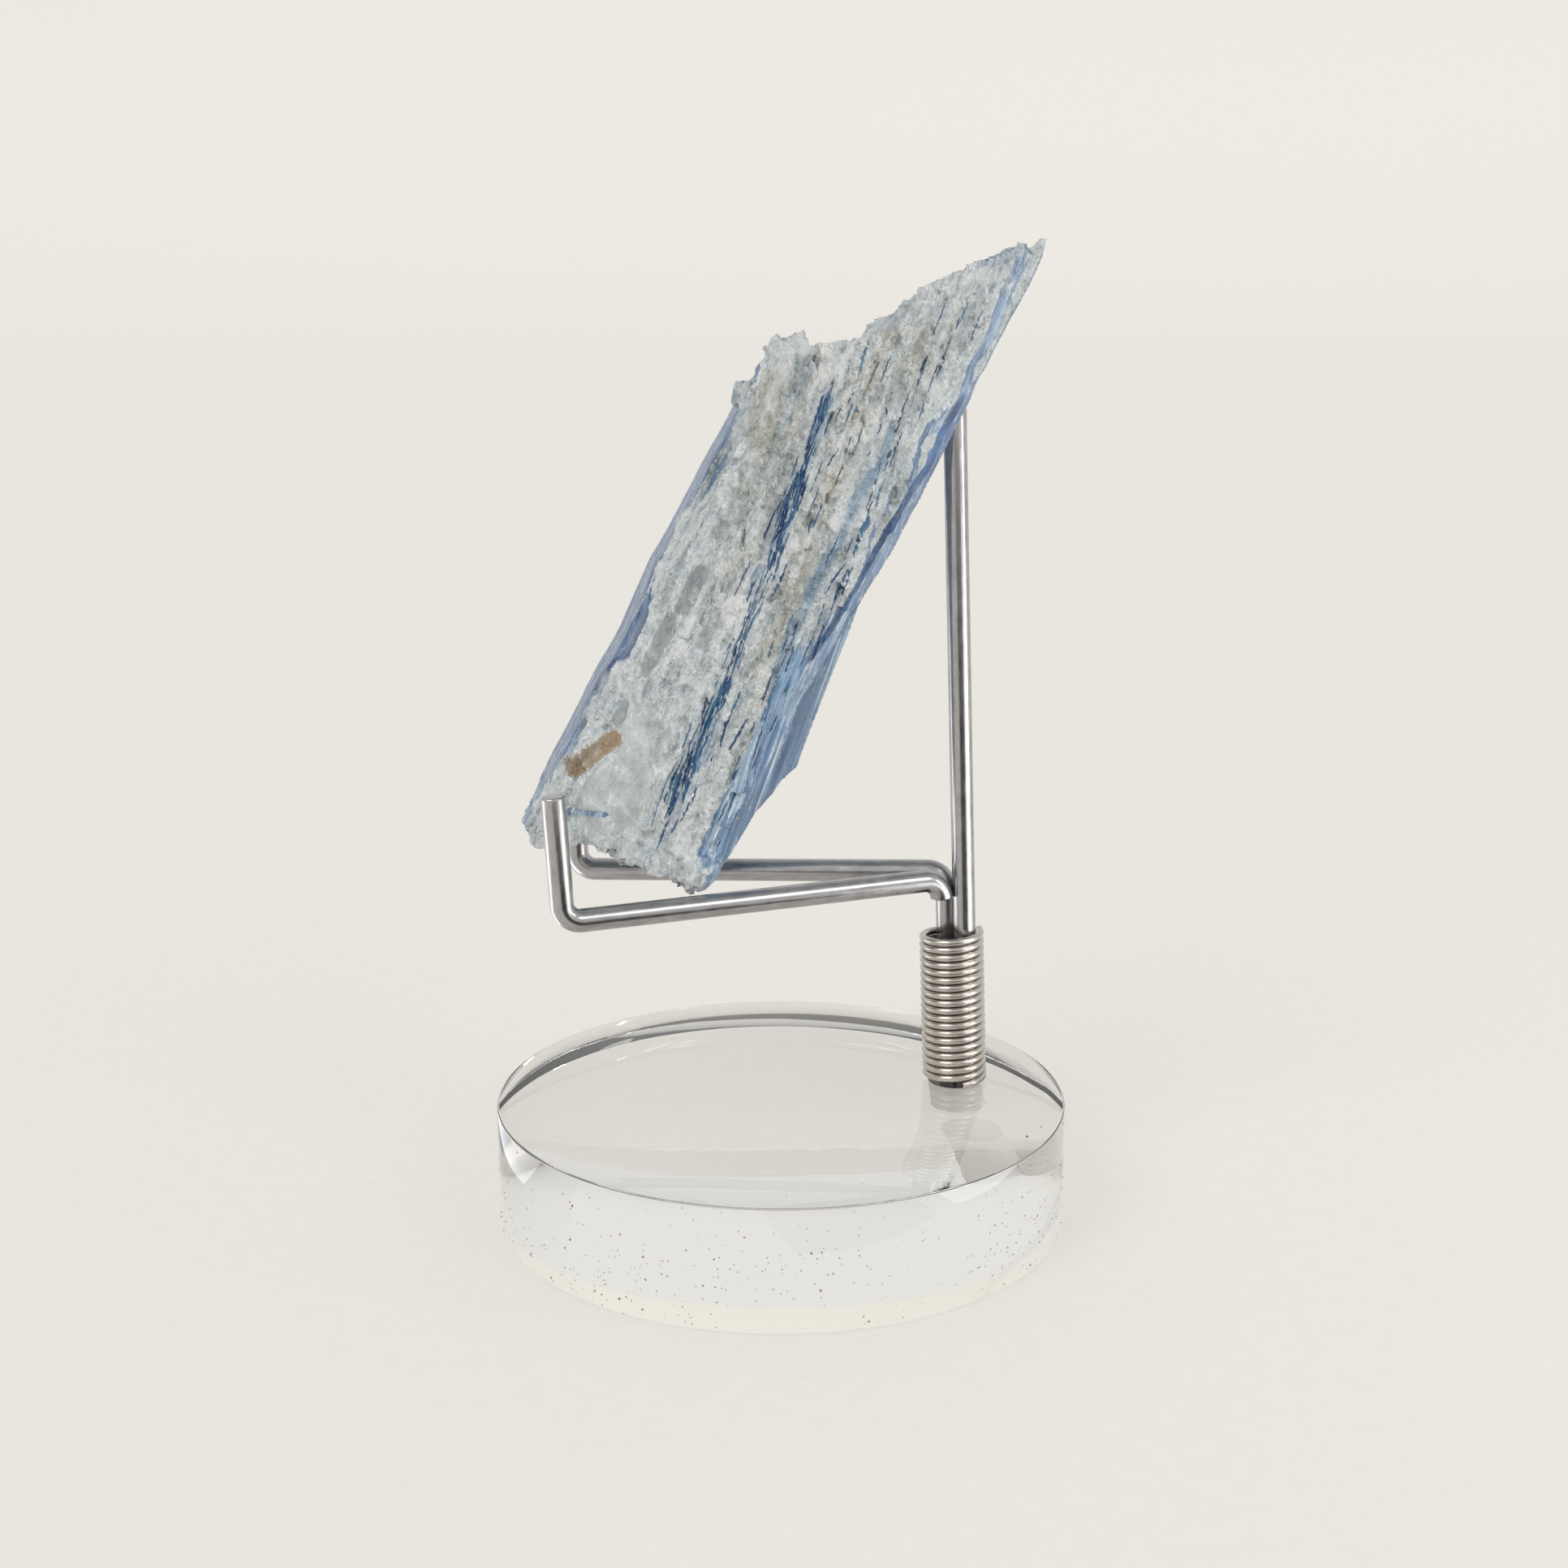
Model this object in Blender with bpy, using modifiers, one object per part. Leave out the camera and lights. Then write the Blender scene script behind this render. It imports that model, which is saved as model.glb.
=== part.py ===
"""Kyanite blade specimen leaning on a small wire easel with a clear disc base.

Six pieces: the clear base disc, a wound wire collar, two bent wire arms with
upturned hooks, a straight back post, and the specimen itself, which is one
intergrown slab of kyanite blades with a rough crust on its near face.

The origin is the centre of the disc's underside, +Z is up, the collar stands
toward +Y and the hooks reach toward -Y.
"""
import math

import bmesh
import bpy
from mathutils import Matrix, Vector, noise

MM = 0.001

OBJECT_NAME = "kyanite_blade_cluster"
CUTTER_GROUP = "cutters"

# Clear base disc.
DISC_DIAMETER = 70.0 * MM
DISC_HEIGHT = 15.0 * MM
DISC_EDGE = 0.35 * MM
DISC_SIDES = 72
SOCKET_DIAMETER = 6.6 * MM
SOCKET_DEPTH = 10.0 * MM
SOCKET_SIDES = 24

# The three rods stand in one bundle, which leans a little toward the front.
ROD_DIAMETER = 2.8 * MM
ROD_SPACING = 2.85 * MM
BUNDLE_Y = 22.37 * MM
BUNDLE_LEAN = math.radians(2.15)
BUNDLE_TURN = math.radians(60.9)
ROD_FOOT_GAP = 0.3 * MM

# Wound wire collar round the bundle.
COLLAR_WIRE = 0.93 * MM
COLLAR_PITCH = 0.985 * MM
COLLAR_TURNS = 19.25
COLLAR_STEPS = 16
COLLAR_CLEARANCE = 0.04 * MM

# Arms: one bend over the collar, a level run, and an upturned hook.
NEAR_BEND_HEIGHT = 41.6 * MM
FAR_BEND_HEIGHT = 41.9 * MM
HOOK_CORNER_HEIGHT = 41.0 * MM
NEAR_HOOK = (7.4 * MM, -27.4 * MM)
FAR_HOOK = (-15.3 * MM, -22.8 * MM)
HOOK_RISE = 15.2 * MM
HOOK_LEAN = math.radians(3.4)
BEND_RADIUS = 2.5 * MM
HOOK_RADIUS = 2.3 * MM
BEND_STEPS = 6
POST_TOP = 99.6 * MM

# Specimen: its own axes are length, width (up and forward) and thickness.
SLAB_LEAN = math.radians(61.7)
SLAB_TURN = math.radians(4.8)
SLAB_FOOT = (-3.0 * MM, -11.6 * MM, 43.1 * MM)
SLAB_STATIONS = 40
GRAIN_SLOPE = math.tan(math.radians(8.0))
CRUST_ROUGHNESS = 0.55 * MM
END_ROUGHNESS = 0.7 * MM
CLEAVAGE_ROUGHNESS = 0.12 * MM
# The far side runs out toward the pointed head, from this place on.
TAPER_START = 58.0
TAPER_DEPTH = 7.6
TAPER_LENGTH = 28.0
# The head end slants back from the near face to the far one.
HEAD_SLANT = 5.4
# Share of the width, foot end, head end, near level and far level, in mm.
SLAB_COLUMNS = (
    (0.00, 2.6, 85.0, 4.6, -5.4),
    (0.09, -0.2, 84.3, 5.7, -6.0),
    (0.19, 0.3, 82.5, 6.4, -6.4),
    (0.30, 0.3, 80.4, 7.1, -7.0),
    (0.41, 0.0, 77.4, 7.4, -7.1),
    (0.50, 0.0, 74.6, 7.3, -7.2),
    (0.56, -0.1, 69.2, 7.1, -6.7),
    (0.67, -0.5, 67.2, 7.4, -6.8),
    (0.79, -1.1, 65.0, 7.3, -7.3),
    (0.86, -1.5, 63.1, 6.9, -7.4),
    (0.93, -2.1, 64.1, 6.7, -7.5),
    (1.00, -2.4, 61.6, 5.8, -7.4),
)
# Back and front edges of the cross-section, from the far face to the near one, in mm.
SLAB_BACK = (0.8, -0.25, -0.3, -0.5, -1.5)
SLAB_FRONT = (18.8, 19.2, 19.1, 18.9, 18.6)


def new_collection(name):
    """Make a collection and link it to the scene."""
    group = bpy.data.collections.new(name)
    bpy.context.scene.collection.children.link(group)
    return group


def material(name, colour, roughness, metallic=0.0, alpha=1.0):
    """Make a Principled material."""
    made = bpy.data.materials.new(name)
    made.use_nodes = True
    shader = made.node_tree.nodes["Principled BSDF"]
    shader.inputs["Base Color"].default_value = (*colour, 1.0)
    shader.inputs["Roughness"].default_value = roughness
    shader.inputs["Metallic"].default_value = metallic
    shader.inputs["Alpha"].default_value = alpha
    return made


def add_object(name, data, group, finish=None):
    """Put new data in a group as one named object."""
    thing = bpy.data.objects.new(name, data)
    group.objects.link(thing)
    if finish is not None:
        data.materials.append(finish)
    return thing


def mesh_from(name, shape):
    """Turn a bmesh into a mesh and free it."""
    data = bpy.data.meshes.new(name)
    shape.to_mesh(data)
    shape.free()
    return data


def keep_as_cutter(thing):
    """Mark a solid as a construction aid."""
    thing.hide_render = True
    thing.display_type = "WIRE"


def boolean(thing, other, operation):
    """Cut or join one solid with another and leave the modifier live."""
    step = thing.modifiers.new(operation.lower() + "_" + other.name, "BOOLEAN")
    step.operation = operation
    step.solver = "EXACT"
    step.object = other


# Stand


def base_disc(group, cutters, finish):
    """Clear disc with a fine edge and one blind socket for the three rods."""
    shape = bmesh.new()
    bmesh.ops.create_cone(
        shape, cap_ends=True, segments=DISC_SIDES,
        radius1=DISC_DIAMETER / 2, radius2=DISC_DIAMETER / 2, depth=DISC_HEIGHT,
    )
    disc = add_object("acrylic_base_disc", mesh_from("acrylic_base_disc", shape), group, finish)
    disc.location.z = DISC_HEIGHT / 2
    edge = disc.modifiers.new("fine_edge", "BEVEL")
    edge.width = DISC_EDGE
    edge.segments = 1
    edge.limit_method = "ANGLE"
    edge.angle_limit = math.radians(60)
    bore = bmesh.new()
    bmesh.ops.create_cone(
        bore, cap_ends=True, segments=SOCKET_SIDES,
        radius1=SOCKET_DIAMETER / 2, radius2=SOCKET_DIAMETER / 2, depth=2 * SOCKET_DEPTH,
    )
    socket = add_object("rod_socket", mesh_from("rod_socket", bore), cutters)
    socket.location = (0, BUNDLE_Y, DISC_HEIGHT)
    socket.rotation_euler.x = BUNDLE_LEAN
    keep_as_cutter(socket)
    boolean(disc, socket, "DIFFERENCE")
    disc.data.shade_smooth()
    disc.data.set_sharp_from_angle(angle=math.radians(30))
    return disc


def bundle_axis(height):
    """Centre of the rod bundle at a height above the ground."""
    lean = math.tan(BUNDLE_LEAN) * (height - DISC_HEIGHT)
    return Vector((0, BUNDLE_Y - lean, height))


def rod_centre(index, height):
    """Centre of one of the three rods: 0 is the post, 1 the near arm, 2 the far arm."""
    angle = BUNDLE_TURN - index * math.radians(120)
    reach = ROD_SPACING / math.sqrt(3)
    return bundle_axis(height) + Vector((reach * math.cos(angle), reach * math.sin(angle), 0))


def rounded_path(corners, radii):
    """Points of a path whose inner corners are turned by arcs."""
    points = [corners[0]]
    for i, radius in enumerate(radii, start=1):
        before = (corners[i - 1] - corners[i]).normalized()
        after = (corners[i + 1] - corners[i]).normalized()
        half = before.angle(after) / 2
        setback = radius / math.tan(half)
        centre = corners[i] + (before + after).normalized() * (radius / math.sin(half))
        start = corners[i] + before * setback - centre
        end = corners[i] + after * setback - centre
        sweep = start.angle(end)
        for step in range(BEND_STEPS + 1):
            share = step / BEND_STEPS
            arc = (start * math.sin((1 - share) * sweep) + end * math.sin(share * sweep))
            points.append(centre + arc / math.sin(sweep))
    points.append(corners[-1])
    return points


def wire(name, points, diameter, group, finish, resolution=4):
    """Round wire along a list of points, closed at both ends."""
    curve = bpy.data.curves.new(name, "CURVE")
    curve.dimensions = "3D"
    curve.bevel_depth = diameter / 2
    curve.bevel_resolution = resolution
    curve.use_fill_caps = True
    spline = curve.splines.new("POLY")
    spline.points.add(len(points) - 1)
    for target, point in zip(spline.points, points):
        target.co = (*point, 1.0)
    return add_object(name, curve, group, finish)


def arm(name, index, bend_height, hook_place, group, finish):
    """One wire arm: rod in the socket, bend, level run and upturned hook."""
    foot = rod_centre(index, DISC_HEIGHT - SOCKET_DEPTH + ROD_FOOT_GAP)
    bend = rod_centre(index, bend_height)
    hook = Vector((*hook_place, HOOK_CORNER_HEIGHT))
    outward = Vector((hook.x - bend.x, hook.y - bend.y, 0)).normalized()
    rise = outward * math.sin(HOOK_LEAN) + Vector((0, 0, math.cos(HOOK_LEAN)))
    tip = hook + rise * HOOK_RISE
    path = rounded_path([foot, bend, hook, tip], [BEND_RADIUS, HOOK_RADIUS])
    return wire(name, path, ROD_DIAMETER, group, finish)


def back_post(group, finish):
    """Straight rod that the specimen leans on."""
    foot = rod_centre(0, DISC_HEIGHT - SOCKET_DEPTH + ROD_FOOT_GAP)
    return wire("back_post", [foot, rod_centre(0, POST_TOP)], ROD_DIAMETER, group, finish)


def collar(group, finish):
    """Close-wound wire round the three rods, standing on the disc."""
    bundle_reach = ROD_SPACING / math.sqrt(3) + ROD_DIAMETER / 2
    true_radius = bundle_reach + COLLAR_CLEARANCE + COLLAR_WIRE / 2
    radius = true_radius / math.cos(math.pi / COLLAR_STEPS)
    axis = Vector((0, -math.sin(BUNDLE_LEAN), math.cos(BUNDLE_LEAN)))
    across = Vector((1, 0, 0))
    forward = axis.cross(across)
    foot = bundle_axis(DISC_HEIGHT + COLLAR_WIRE / 2 + COLLAR_CLEARANCE)
    points = []
    for step in range(round(COLLAR_TURNS * COLLAR_STEPS) + 1):
        turn = 2 * math.pi * step / COLLAR_STEPS
        ring = across * math.cos(turn) + forward * math.sin(turn)
        points.append(foot + ring * radius + axis * (COLLAR_PITCH * step / COLLAR_STEPS))
    return wire("wound_wire_collar", points, COLLAR_WIRE, group, finish, resolution=1)


# Specimen, in its own axes: x along the blades, y across the width, z thickness


def slab_matrix():
    """Place of the specimen's own axes in the stand."""
    level = Vector((math.sin(SLAB_TURN), math.cos(SLAB_TURN), 0))
    up = Vector((0, 0, 1))
    length = level * math.cos(SLAB_LEAN) + up * math.sin(SLAB_LEAN)
    width = up * math.cos(SLAB_LEAN) - level * math.sin(SLAB_LEAN)
    thickness = length.cross(width)
    turn = Matrix((length, width, thickness)).transposed()
    return Matrix.Translation(SLAB_FOOT) @ turn.to_4x4()


def gridded_cube(cuts):
    """Unit cube with its edges cut into the given counts along x, y and z."""
    shape = bmesh.new()
    bmesh.ops.create_cube(shape, size=1.0)
    bmesh.ops.translate(shape, verts=shape.verts, vec=(0.5, 0.5, 0.5))
    for axis, count in enumerate(cuts):
        along = [
            edge for edge in shape.edges
            if abs(edge.verts[0].co[axis] - edge.verts[1].co[axis]) > 0.5
        ]
        bmesh.ops.subdivide_edges(shape, edges=along, cuts=count - 1, use_grid_fill=True)
    return shape


def roughened(place, amount, size):
    """Smooth pseudo-random offset that depends only on the place."""
    at = place / (size * MM)
    coarse = noise.noise_vector(at)
    fine = noise.noise_vector(at * 2.3 + Vector((7.1, 3.3, 5.7)))
    return (coarse + fine * 0.5) * amount


def slab_body():
    """Main slab: a gridded block shaped by its columns, ends and edge profiles."""
    rows = len(SLAB_BACK) - 1
    columns = len(SLAB_COLUMNS) - 1
    shape = gridded_cube((SLAB_STATIONS, columns, rows))
    for vert in shape.verts:
        along, across, deep = vert.co
        column = round(across * columns)
        row = round(deep * rows)
        share, foot, head, near, far = SLAB_COLUMNS[column]
        back = SLAB_BACK[row]
        front = SLAB_FRONT[row]
        x = foot + along * (head - HEAD_SLANT * (1 - deep) - foot)
        y = back + share * (front - back)
        taper = TAPER_DEPTH * (max(x - TAPER_START, 0.0) / TAPER_LENGTH) ** 1.4
        z = far + (1 - deep) * taper + deep * (near - far)
        place = Vector((x, y, z)) * MM
        at_end = along in (0.0, 1.0)
        on_near = row == rows and 0 < column < columns
        amount = CLEAVAGE_ROUGHNESS
        if on_near:
            amount = CRUST_ROUGHNESS
        if at_end:
            amount = END_ROUGHNESS
        vert.co = place + roughened(place, amount, 3.1)
    return mesh_from("slab_body", shape)


def blade(name, outline, near, far, group, matrix):
    """Flat blade: an outline across the slab, given in mm, with its two faces."""
    curve = bpy.data.curves.new(name, "CURVE")
    curve.dimensions = "2D"
    curve.fill_mode = "BOTH"
    curve.extrude = (near - far) * MM / 2
    spline = curve.splines.new("POLY")
    spline.points.add(len(outline) - 1)
    spline.use_cyclic_u = True
    for target, (x, y) in zip(spline.points, outline):
        target.co = (x * MM, y * MM, 0, 1)
    sketch = bpy.data.objects.new(name + "_sketch", curve)
    group.objects.link(sketch)
    bpy.context.view_layer.update()
    evaluated = sketch.evaluated_get(bpy.context.evaluated_depsgraph_get())
    data = bpy.data.meshes.new_from_object(evaluated)
    bpy.data.objects.remove(sketch)
    shape = bmesh.new()
    shape.from_mesh(data)
    bmesh.ops.remove_doubles(shape, verts=shape.verts, dist=0.0001 * MM)
    bmesh.ops.translate(shape, verts=shape.verts, vec=(0, 0, (near + far) * MM / 2))
    bmesh.ops.recalc_face_normals(shape, faces=shape.faces)
    shape.to_mesh(data)
    shape.free()
    solid = add_object(name, data, group)
    solid.matrix_world = matrix
    keep_as_cutter(solid)
    return solid


def lath(name, start, length, width, near, far, group, matrix):
    """Narrow pointed blade along the grain, starting at a place in mm."""
    x, y = start
    rise = GRAIN_SLOPE * length
    outline = (
        (x, y), (x + 0.12 * length, y + 0.12 * rise - width / 2),
        (x + 0.86 * length, y + 0.86 * rise - width / 2), (x + length, y + rise),
        (x + 0.80 * length, y + 0.80 * rise + width / 2),
        (x + 0.18 * length, y + 0.18 * rise + width / 2),
    )
    return blade(name, outline, near, far, group, matrix)


def lump(name, centre, radii, group, matrix, detail=2):
    """Rounded broken lump, given in mm."""
    shape = bmesh.new()
    bmesh.ops.create_icosphere(shape, subdivisions=detail, radius=1.0)
    for vert in shape.verts:
        place = Vector([c + r * v for c, r, v in zip(centre, radii, vert.co)]) * MM
        vert.co = place + roughened(place, 0.35 * MM, 1.9)
    solid = add_object(name, mesh_from(name, shape), group)
    solid.matrix_world = matrix
    keep_as_cutter(solid)
    return solid


def specimen_additions(cutters, matrix):
    """Blades, laths and lumps that grow out of the main slab."""
    return [
        blade("front_blade", ((-2.0, 14.8), (-4.0, 16.4), (-4.6, 17.6), (-3.5, 19.7),
                              (12.0, 19.1), (40.0, 19.8), (55.0, 19.5), (58.0, 18.4),
                              (57.6, 15.2), (20.0, 14.8)),
              1.2, -7.8, cutters, matrix),
        blade("foot_blade", ((0.9, 1.6), (0.6, -0.9), (2.4, -2.35), (12.0, -2.45),
                             (22.0, -2.0), (25.0, 1.0)),
              5.2, 0.55, cutters, matrix),
        blade("rear_blade", ((41.5, -1.4), (31.5, -3.2), (18.4, -5.25), (16.0, -4.1),
                             (12.6, -3.2), (9.6, -2.6), (8.6, 1.2), (40.0, 1.6)),
              3.0, -4.2, cutters, matrix),
        blade("far_blade", ((4.0, 3.0), (1.5, 8.0), (3.0, 11.4), (52.0, 13.2),
                            (60.5, 11.0), (57.0, 6.4)),
              -6.0, -8.5, cutters, matrix),
        blade("crown_blade", ((58.0, 1.0), (72.0, 3.4), (86.1, -1.3), (84.0, -1.9),
                              (70.0, -1.7)),
              4.9, 1.6, cutters, matrix),
        lath("navy_lath_1", (7.5, 4.6), 25.0, 1.1, 7.7, 5.4, cutters, matrix),
        lath("navy_lath_2", (16.0, 7.0), 27.0, 1.0, 7.6, 5.4, cutters, matrix),
        lath("navy_lath_3", (33.0, 8.3), 24.0, 1.2, 7.7, 5.2, cutters, matrix),
        lath("crust_rib_1", (12.0, 10.6), 30.0, 1.7, 8.0, 5.5, cutters, matrix),
        lath("crust_rib_2", (38.0, 12.6), 24.0, 1.6, 8.0, 5.5, cutters, matrix),
        lath("edge_rib_1", (4.0, 1.8), 33.0, 1.2, 7.0, 4.4, cutters, matrix),
        lath("edge_rib_2", (9.0, -0.5), 28.0, 1.0, 6.0, 3.6, cutters, matrix),
        lath("edge_rib_3", (44.0, 0.4), 26.0, 1.2, 6.6, 4.0, cutters, matrix),
        lump("foot_knob", (2.3, 0.0, 4.9), (3.3, 2.6, 2.5), cutters, matrix),
        lump("foot_lump", (1.4, 8.4, 4.6), (2.4, 3.2, 2.4), cutters, matrix),
        lump("edge_crumb", (54.4, 19.9, -1.0), (2.3, 1.4, 1.8), cutters, matrix, detail=1),
        lump("crown_lump", (60.8, 17.1, 3.4), (2.4, 2.4, 3.0), cutters, matrix),
    ]


def specimen(group, cutters, finish):
    """The intergrown kyanite slab, joined into one solid."""
    matrix = slab_matrix()
    stone = add_object("kyanite_blade_specimen", slab_body(), group, finish)
    stone.matrix_world = matrix
    for addition in specimen_additions(cutters, matrix):
        boolean(stone, addition, "UNION")
    return stone


def main():
    """Clear the scene and build the six pieces."""
    for old in list(bpy.data.objects):
        bpy.data.objects.remove(old, do_unlink=True)
    group = new_collection(OBJECT_NAME)
    cutters = new_collection(CUTTER_GROUP)
    steel = material("stand_steel", (0.62, 0.60, 0.57), 0.28, metallic=1.0)
    collar_steel = material("collar_steel", (0.64, 0.62, 0.60), 0.25, metallic=1.0)
    clear = material("clear_acrylic", (0.93, 0.93, 0.92), 0.05, alpha=0.3)
    kyanite = material("kyanite_stone", (0.52, 0.58, 0.66), 0.55)
    base_disc(group, cutters, clear)
    collar(group, collar_steel)
    arm("near_arm_wire", 1, NEAR_BEND_HEIGHT, NEAR_HOOK, group, steel)
    arm("far_arm_wire", 2, FAR_BEND_HEIGHT, FAR_HOOK, group, steel.copy())
    back_post(group, steel.copy())
    specimen(group, cutters, kyanite)


main()
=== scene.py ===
"""Kyanite blade specimen on a small wire easel: the dressed model.

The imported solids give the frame. Each sub-assembly of the real object is a
class that models its piece by hand tools and dresses it; each finish is a
frozen dataclass that lays out one node material.
"""

import logging
import math
import random
from dataclasses import dataclass, field
from enum import Enum
from typing import Callable, Iterable, Sequence

import bmesh
import bpy
import numpy as np
from mathutils import Matrix, Vector, noise
from mathutils.bvhtree import BVHTree

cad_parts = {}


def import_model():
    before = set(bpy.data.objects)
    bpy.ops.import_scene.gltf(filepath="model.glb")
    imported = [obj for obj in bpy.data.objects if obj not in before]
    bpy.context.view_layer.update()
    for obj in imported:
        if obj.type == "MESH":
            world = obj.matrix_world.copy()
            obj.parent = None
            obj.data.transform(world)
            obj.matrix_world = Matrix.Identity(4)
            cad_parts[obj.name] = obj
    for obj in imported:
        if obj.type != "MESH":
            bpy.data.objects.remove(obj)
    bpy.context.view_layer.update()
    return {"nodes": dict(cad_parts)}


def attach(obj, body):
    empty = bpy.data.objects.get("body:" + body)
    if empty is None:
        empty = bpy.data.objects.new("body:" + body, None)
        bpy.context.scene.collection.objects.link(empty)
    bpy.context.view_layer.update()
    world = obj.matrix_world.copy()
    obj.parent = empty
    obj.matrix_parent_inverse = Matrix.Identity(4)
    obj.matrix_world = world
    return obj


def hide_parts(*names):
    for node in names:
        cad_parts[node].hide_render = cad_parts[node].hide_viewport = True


MM = 0.001
LOG = logging.getLogger("kyanite_easel")

Colour = tuple[float, float, float]


class Slot(Enum):
    """Material slots of the record."""

    ACRYLIC = "clear_acrylic"
    COLLAR = "collar_steel"
    STEEL = "stand_steel"
    STONE = "kyanite_stone"


class Zone(Enum):
    """Vertex attributes that say what grows where on the stone, and where light and shade are painted on it."""

    CLEAVAGE = "cleavage"
    RIBBED = "ribbed"
    QUARTZ = "clear_quartz"
    SMOKY = "smoky_quartz"
    WARM = "warm_crust"
    STREAK = "streak_band"
    SEAM = "dark_seam"
    RUST = "rust_stain"
    # Pale, whitish places on the stone; one of its marks is a painted glint.
    PALE = "pale_tip_and_glint"
    VEIL = "lilac_veil"
    UMBER = "umber_grains"
    # The last two hold painted light: shade painted into the hollows of the relief, and highlight painted onto its
    # ridges.
    HOLLOW = "hollow_shade"
    RAISED = "ridge_highlight"


def srgb(red: int, green: int, blue: int) -> Colour:
    """Turn a display colour into the linear values that shaders take.

    Args:
        red: Red, 0 to 255.
        green: Green, 0 to 255.
        blue: Blue, 0 to 255.

    Returns:
        Linear red, green and blue.
    """
    def linear(value: int) -> float:
        """One channel, by the display's curve."""
        share = value / 255
        return share / 12.92 if share <= 0.04045 else ((share + 0.055) / 1.055) ** 2.4

    return linear(red), linear(green), linear(blue)


# Modelling by hand tools


def drop_selection() -> None:
    """Leave edit mode and deselect every object."""
    if bpy.context.object is not None and bpy.context.object.mode != "OBJECT":
        bpy.ops.object.mode_set(mode="OBJECT")
    bpy.ops.object.select_all(action="DESELECT")


def pick_object(thing: bpy.types.Object) -> None:
    """Make one object the only selected and active one.

    Args:
        thing: The object.
    """
    drop_selection()
    thing.select_set(True)
    bpy.context.view_layer.objects.active = thing


def select_faces(test: Callable[[bmesh.types.BMFace], bool]) -> None:
    """Select the faces of the edited mesh that pass a test.

    Args:
        test: Says whether a face is wanted.
    """
    bpy.ops.mesh.select_mode(type="FACE")
    bpy.ops.mesh.select_all(action="DESELECT")
    shape = bmesh.from_edit_mesh(bpy.context.edit_object.data)
    for face in shape.faces:
        face.select_set(test(face))
    bmesh.update_edit_mesh(bpy.context.edit_object.data)


def select_edges(test: Callable[[bmesh.types.BMEdge], bool]) -> None:
    """Select the edges of the edited mesh that pass a test.

    Args:
        test: Says whether an edge is wanted.
    """
    bpy.ops.mesh.select_mode(type="EDGE")
    bpy.ops.mesh.select_all(action="DESELECT")
    shape = bmesh.from_edit_mesh(bpy.context.edit_object.data)
    for edge in shape.edges:
        edge.select_set(test(edge))
    bmesh.update_edit_mesh(bpy.context.edit_object.data)


def settle(thing: bpy.types.Object) -> None:
    """Put an object's place, turn and scale into its mesh."""
    pick_object(thing)
    bpy.ops.object.transform_apply(location=True, rotation=True, scale=True)


def apply_modifier(thing: bpy.types.Object, name: str) -> None:
    """Apply one modifier of an object."""
    pick_object(thing)
    bpy.ops.object.modifier_apply(modifier=name)


def joined(things: Sequence[bpy.types.Object], name: str) -> bpy.types.Object:
    """Join objects into the first one.

    Args:
        things: The objects, at least one.
        name: Name of the joined object and its mesh.

    Returns:
        The joined object.
    """
    pick_object(things[0])
    for thing in things[1:]:
        thing.select_set(True)
    bpy.ops.object.join()
    things[0].name = name
    things[0].data.name = name
    return things[0]


def ring_of(thing: bpy.types.Object) -> np.ndarray:
    """Vertices of a mesh as an array of rows.

    Args:
        thing: The object.

    Returns:
        Rows of three coordinates.
    """
    places = np.empty(len(thing.data.vertices) * 3)
    thing.data.vertices.foreach_get("co", places)
    return places.reshape(-1, 3)


def write_vectors(thing: bpy.types.Object, name: str, values: np.ndarray) -> None:
    """Store one vector for each vertex.

    Args:
        thing: The object.
        name: Name of the attribute.
        values: Rows of three numbers.
    """
    layer = thing.data.attributes.new(name, "FLOAT_VECTOR", "POINT")
    layer.data.foreach_set("vector", values.astype(np.float32).ravel())


def write_values(thing: bpy.types.Object, name: str, values: np.ndarray) -> None:
    """Store one number for each vertex.

    Args:
        thing: The object.
        name: Name of the attribute.
        values: The numbers.
    """
    layer = thing.data.attributes.new(name, "FLOAT", "POINT")
    layer.data.foreach_set("value", values.astype(np.float32))


def dress(thing: bpy.types.Object, finishes: Iterable[bpy.types.Material]) -> None:
    """Give an object its materials, in slot order.

    Args:
        thing: The object.
        finishes: The materials.
    """
    thing.data.materials.clear()
    for finish in finishes:
        thing.data.materials.append(finish)


def smooth(thing: bpy.types.Object, degrees: float) -> None:
    """Shade an object smooth, with edges sharper than an angle kept."""
    pick_object(thing)
    bpy.ops.object.shade_smooth_by_angle(angle=math.radians(degrees))


def ramp01(values: np.ndarray, start: float, end: float) -> np.ndarray:
    """Smooth step from 0 at start to 1 at end, either way round."""
    share = np.clip((values - start) / (end - start), 0.0, 1.0)
    return share * share * (3 - 2 * share)


# Materials


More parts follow.
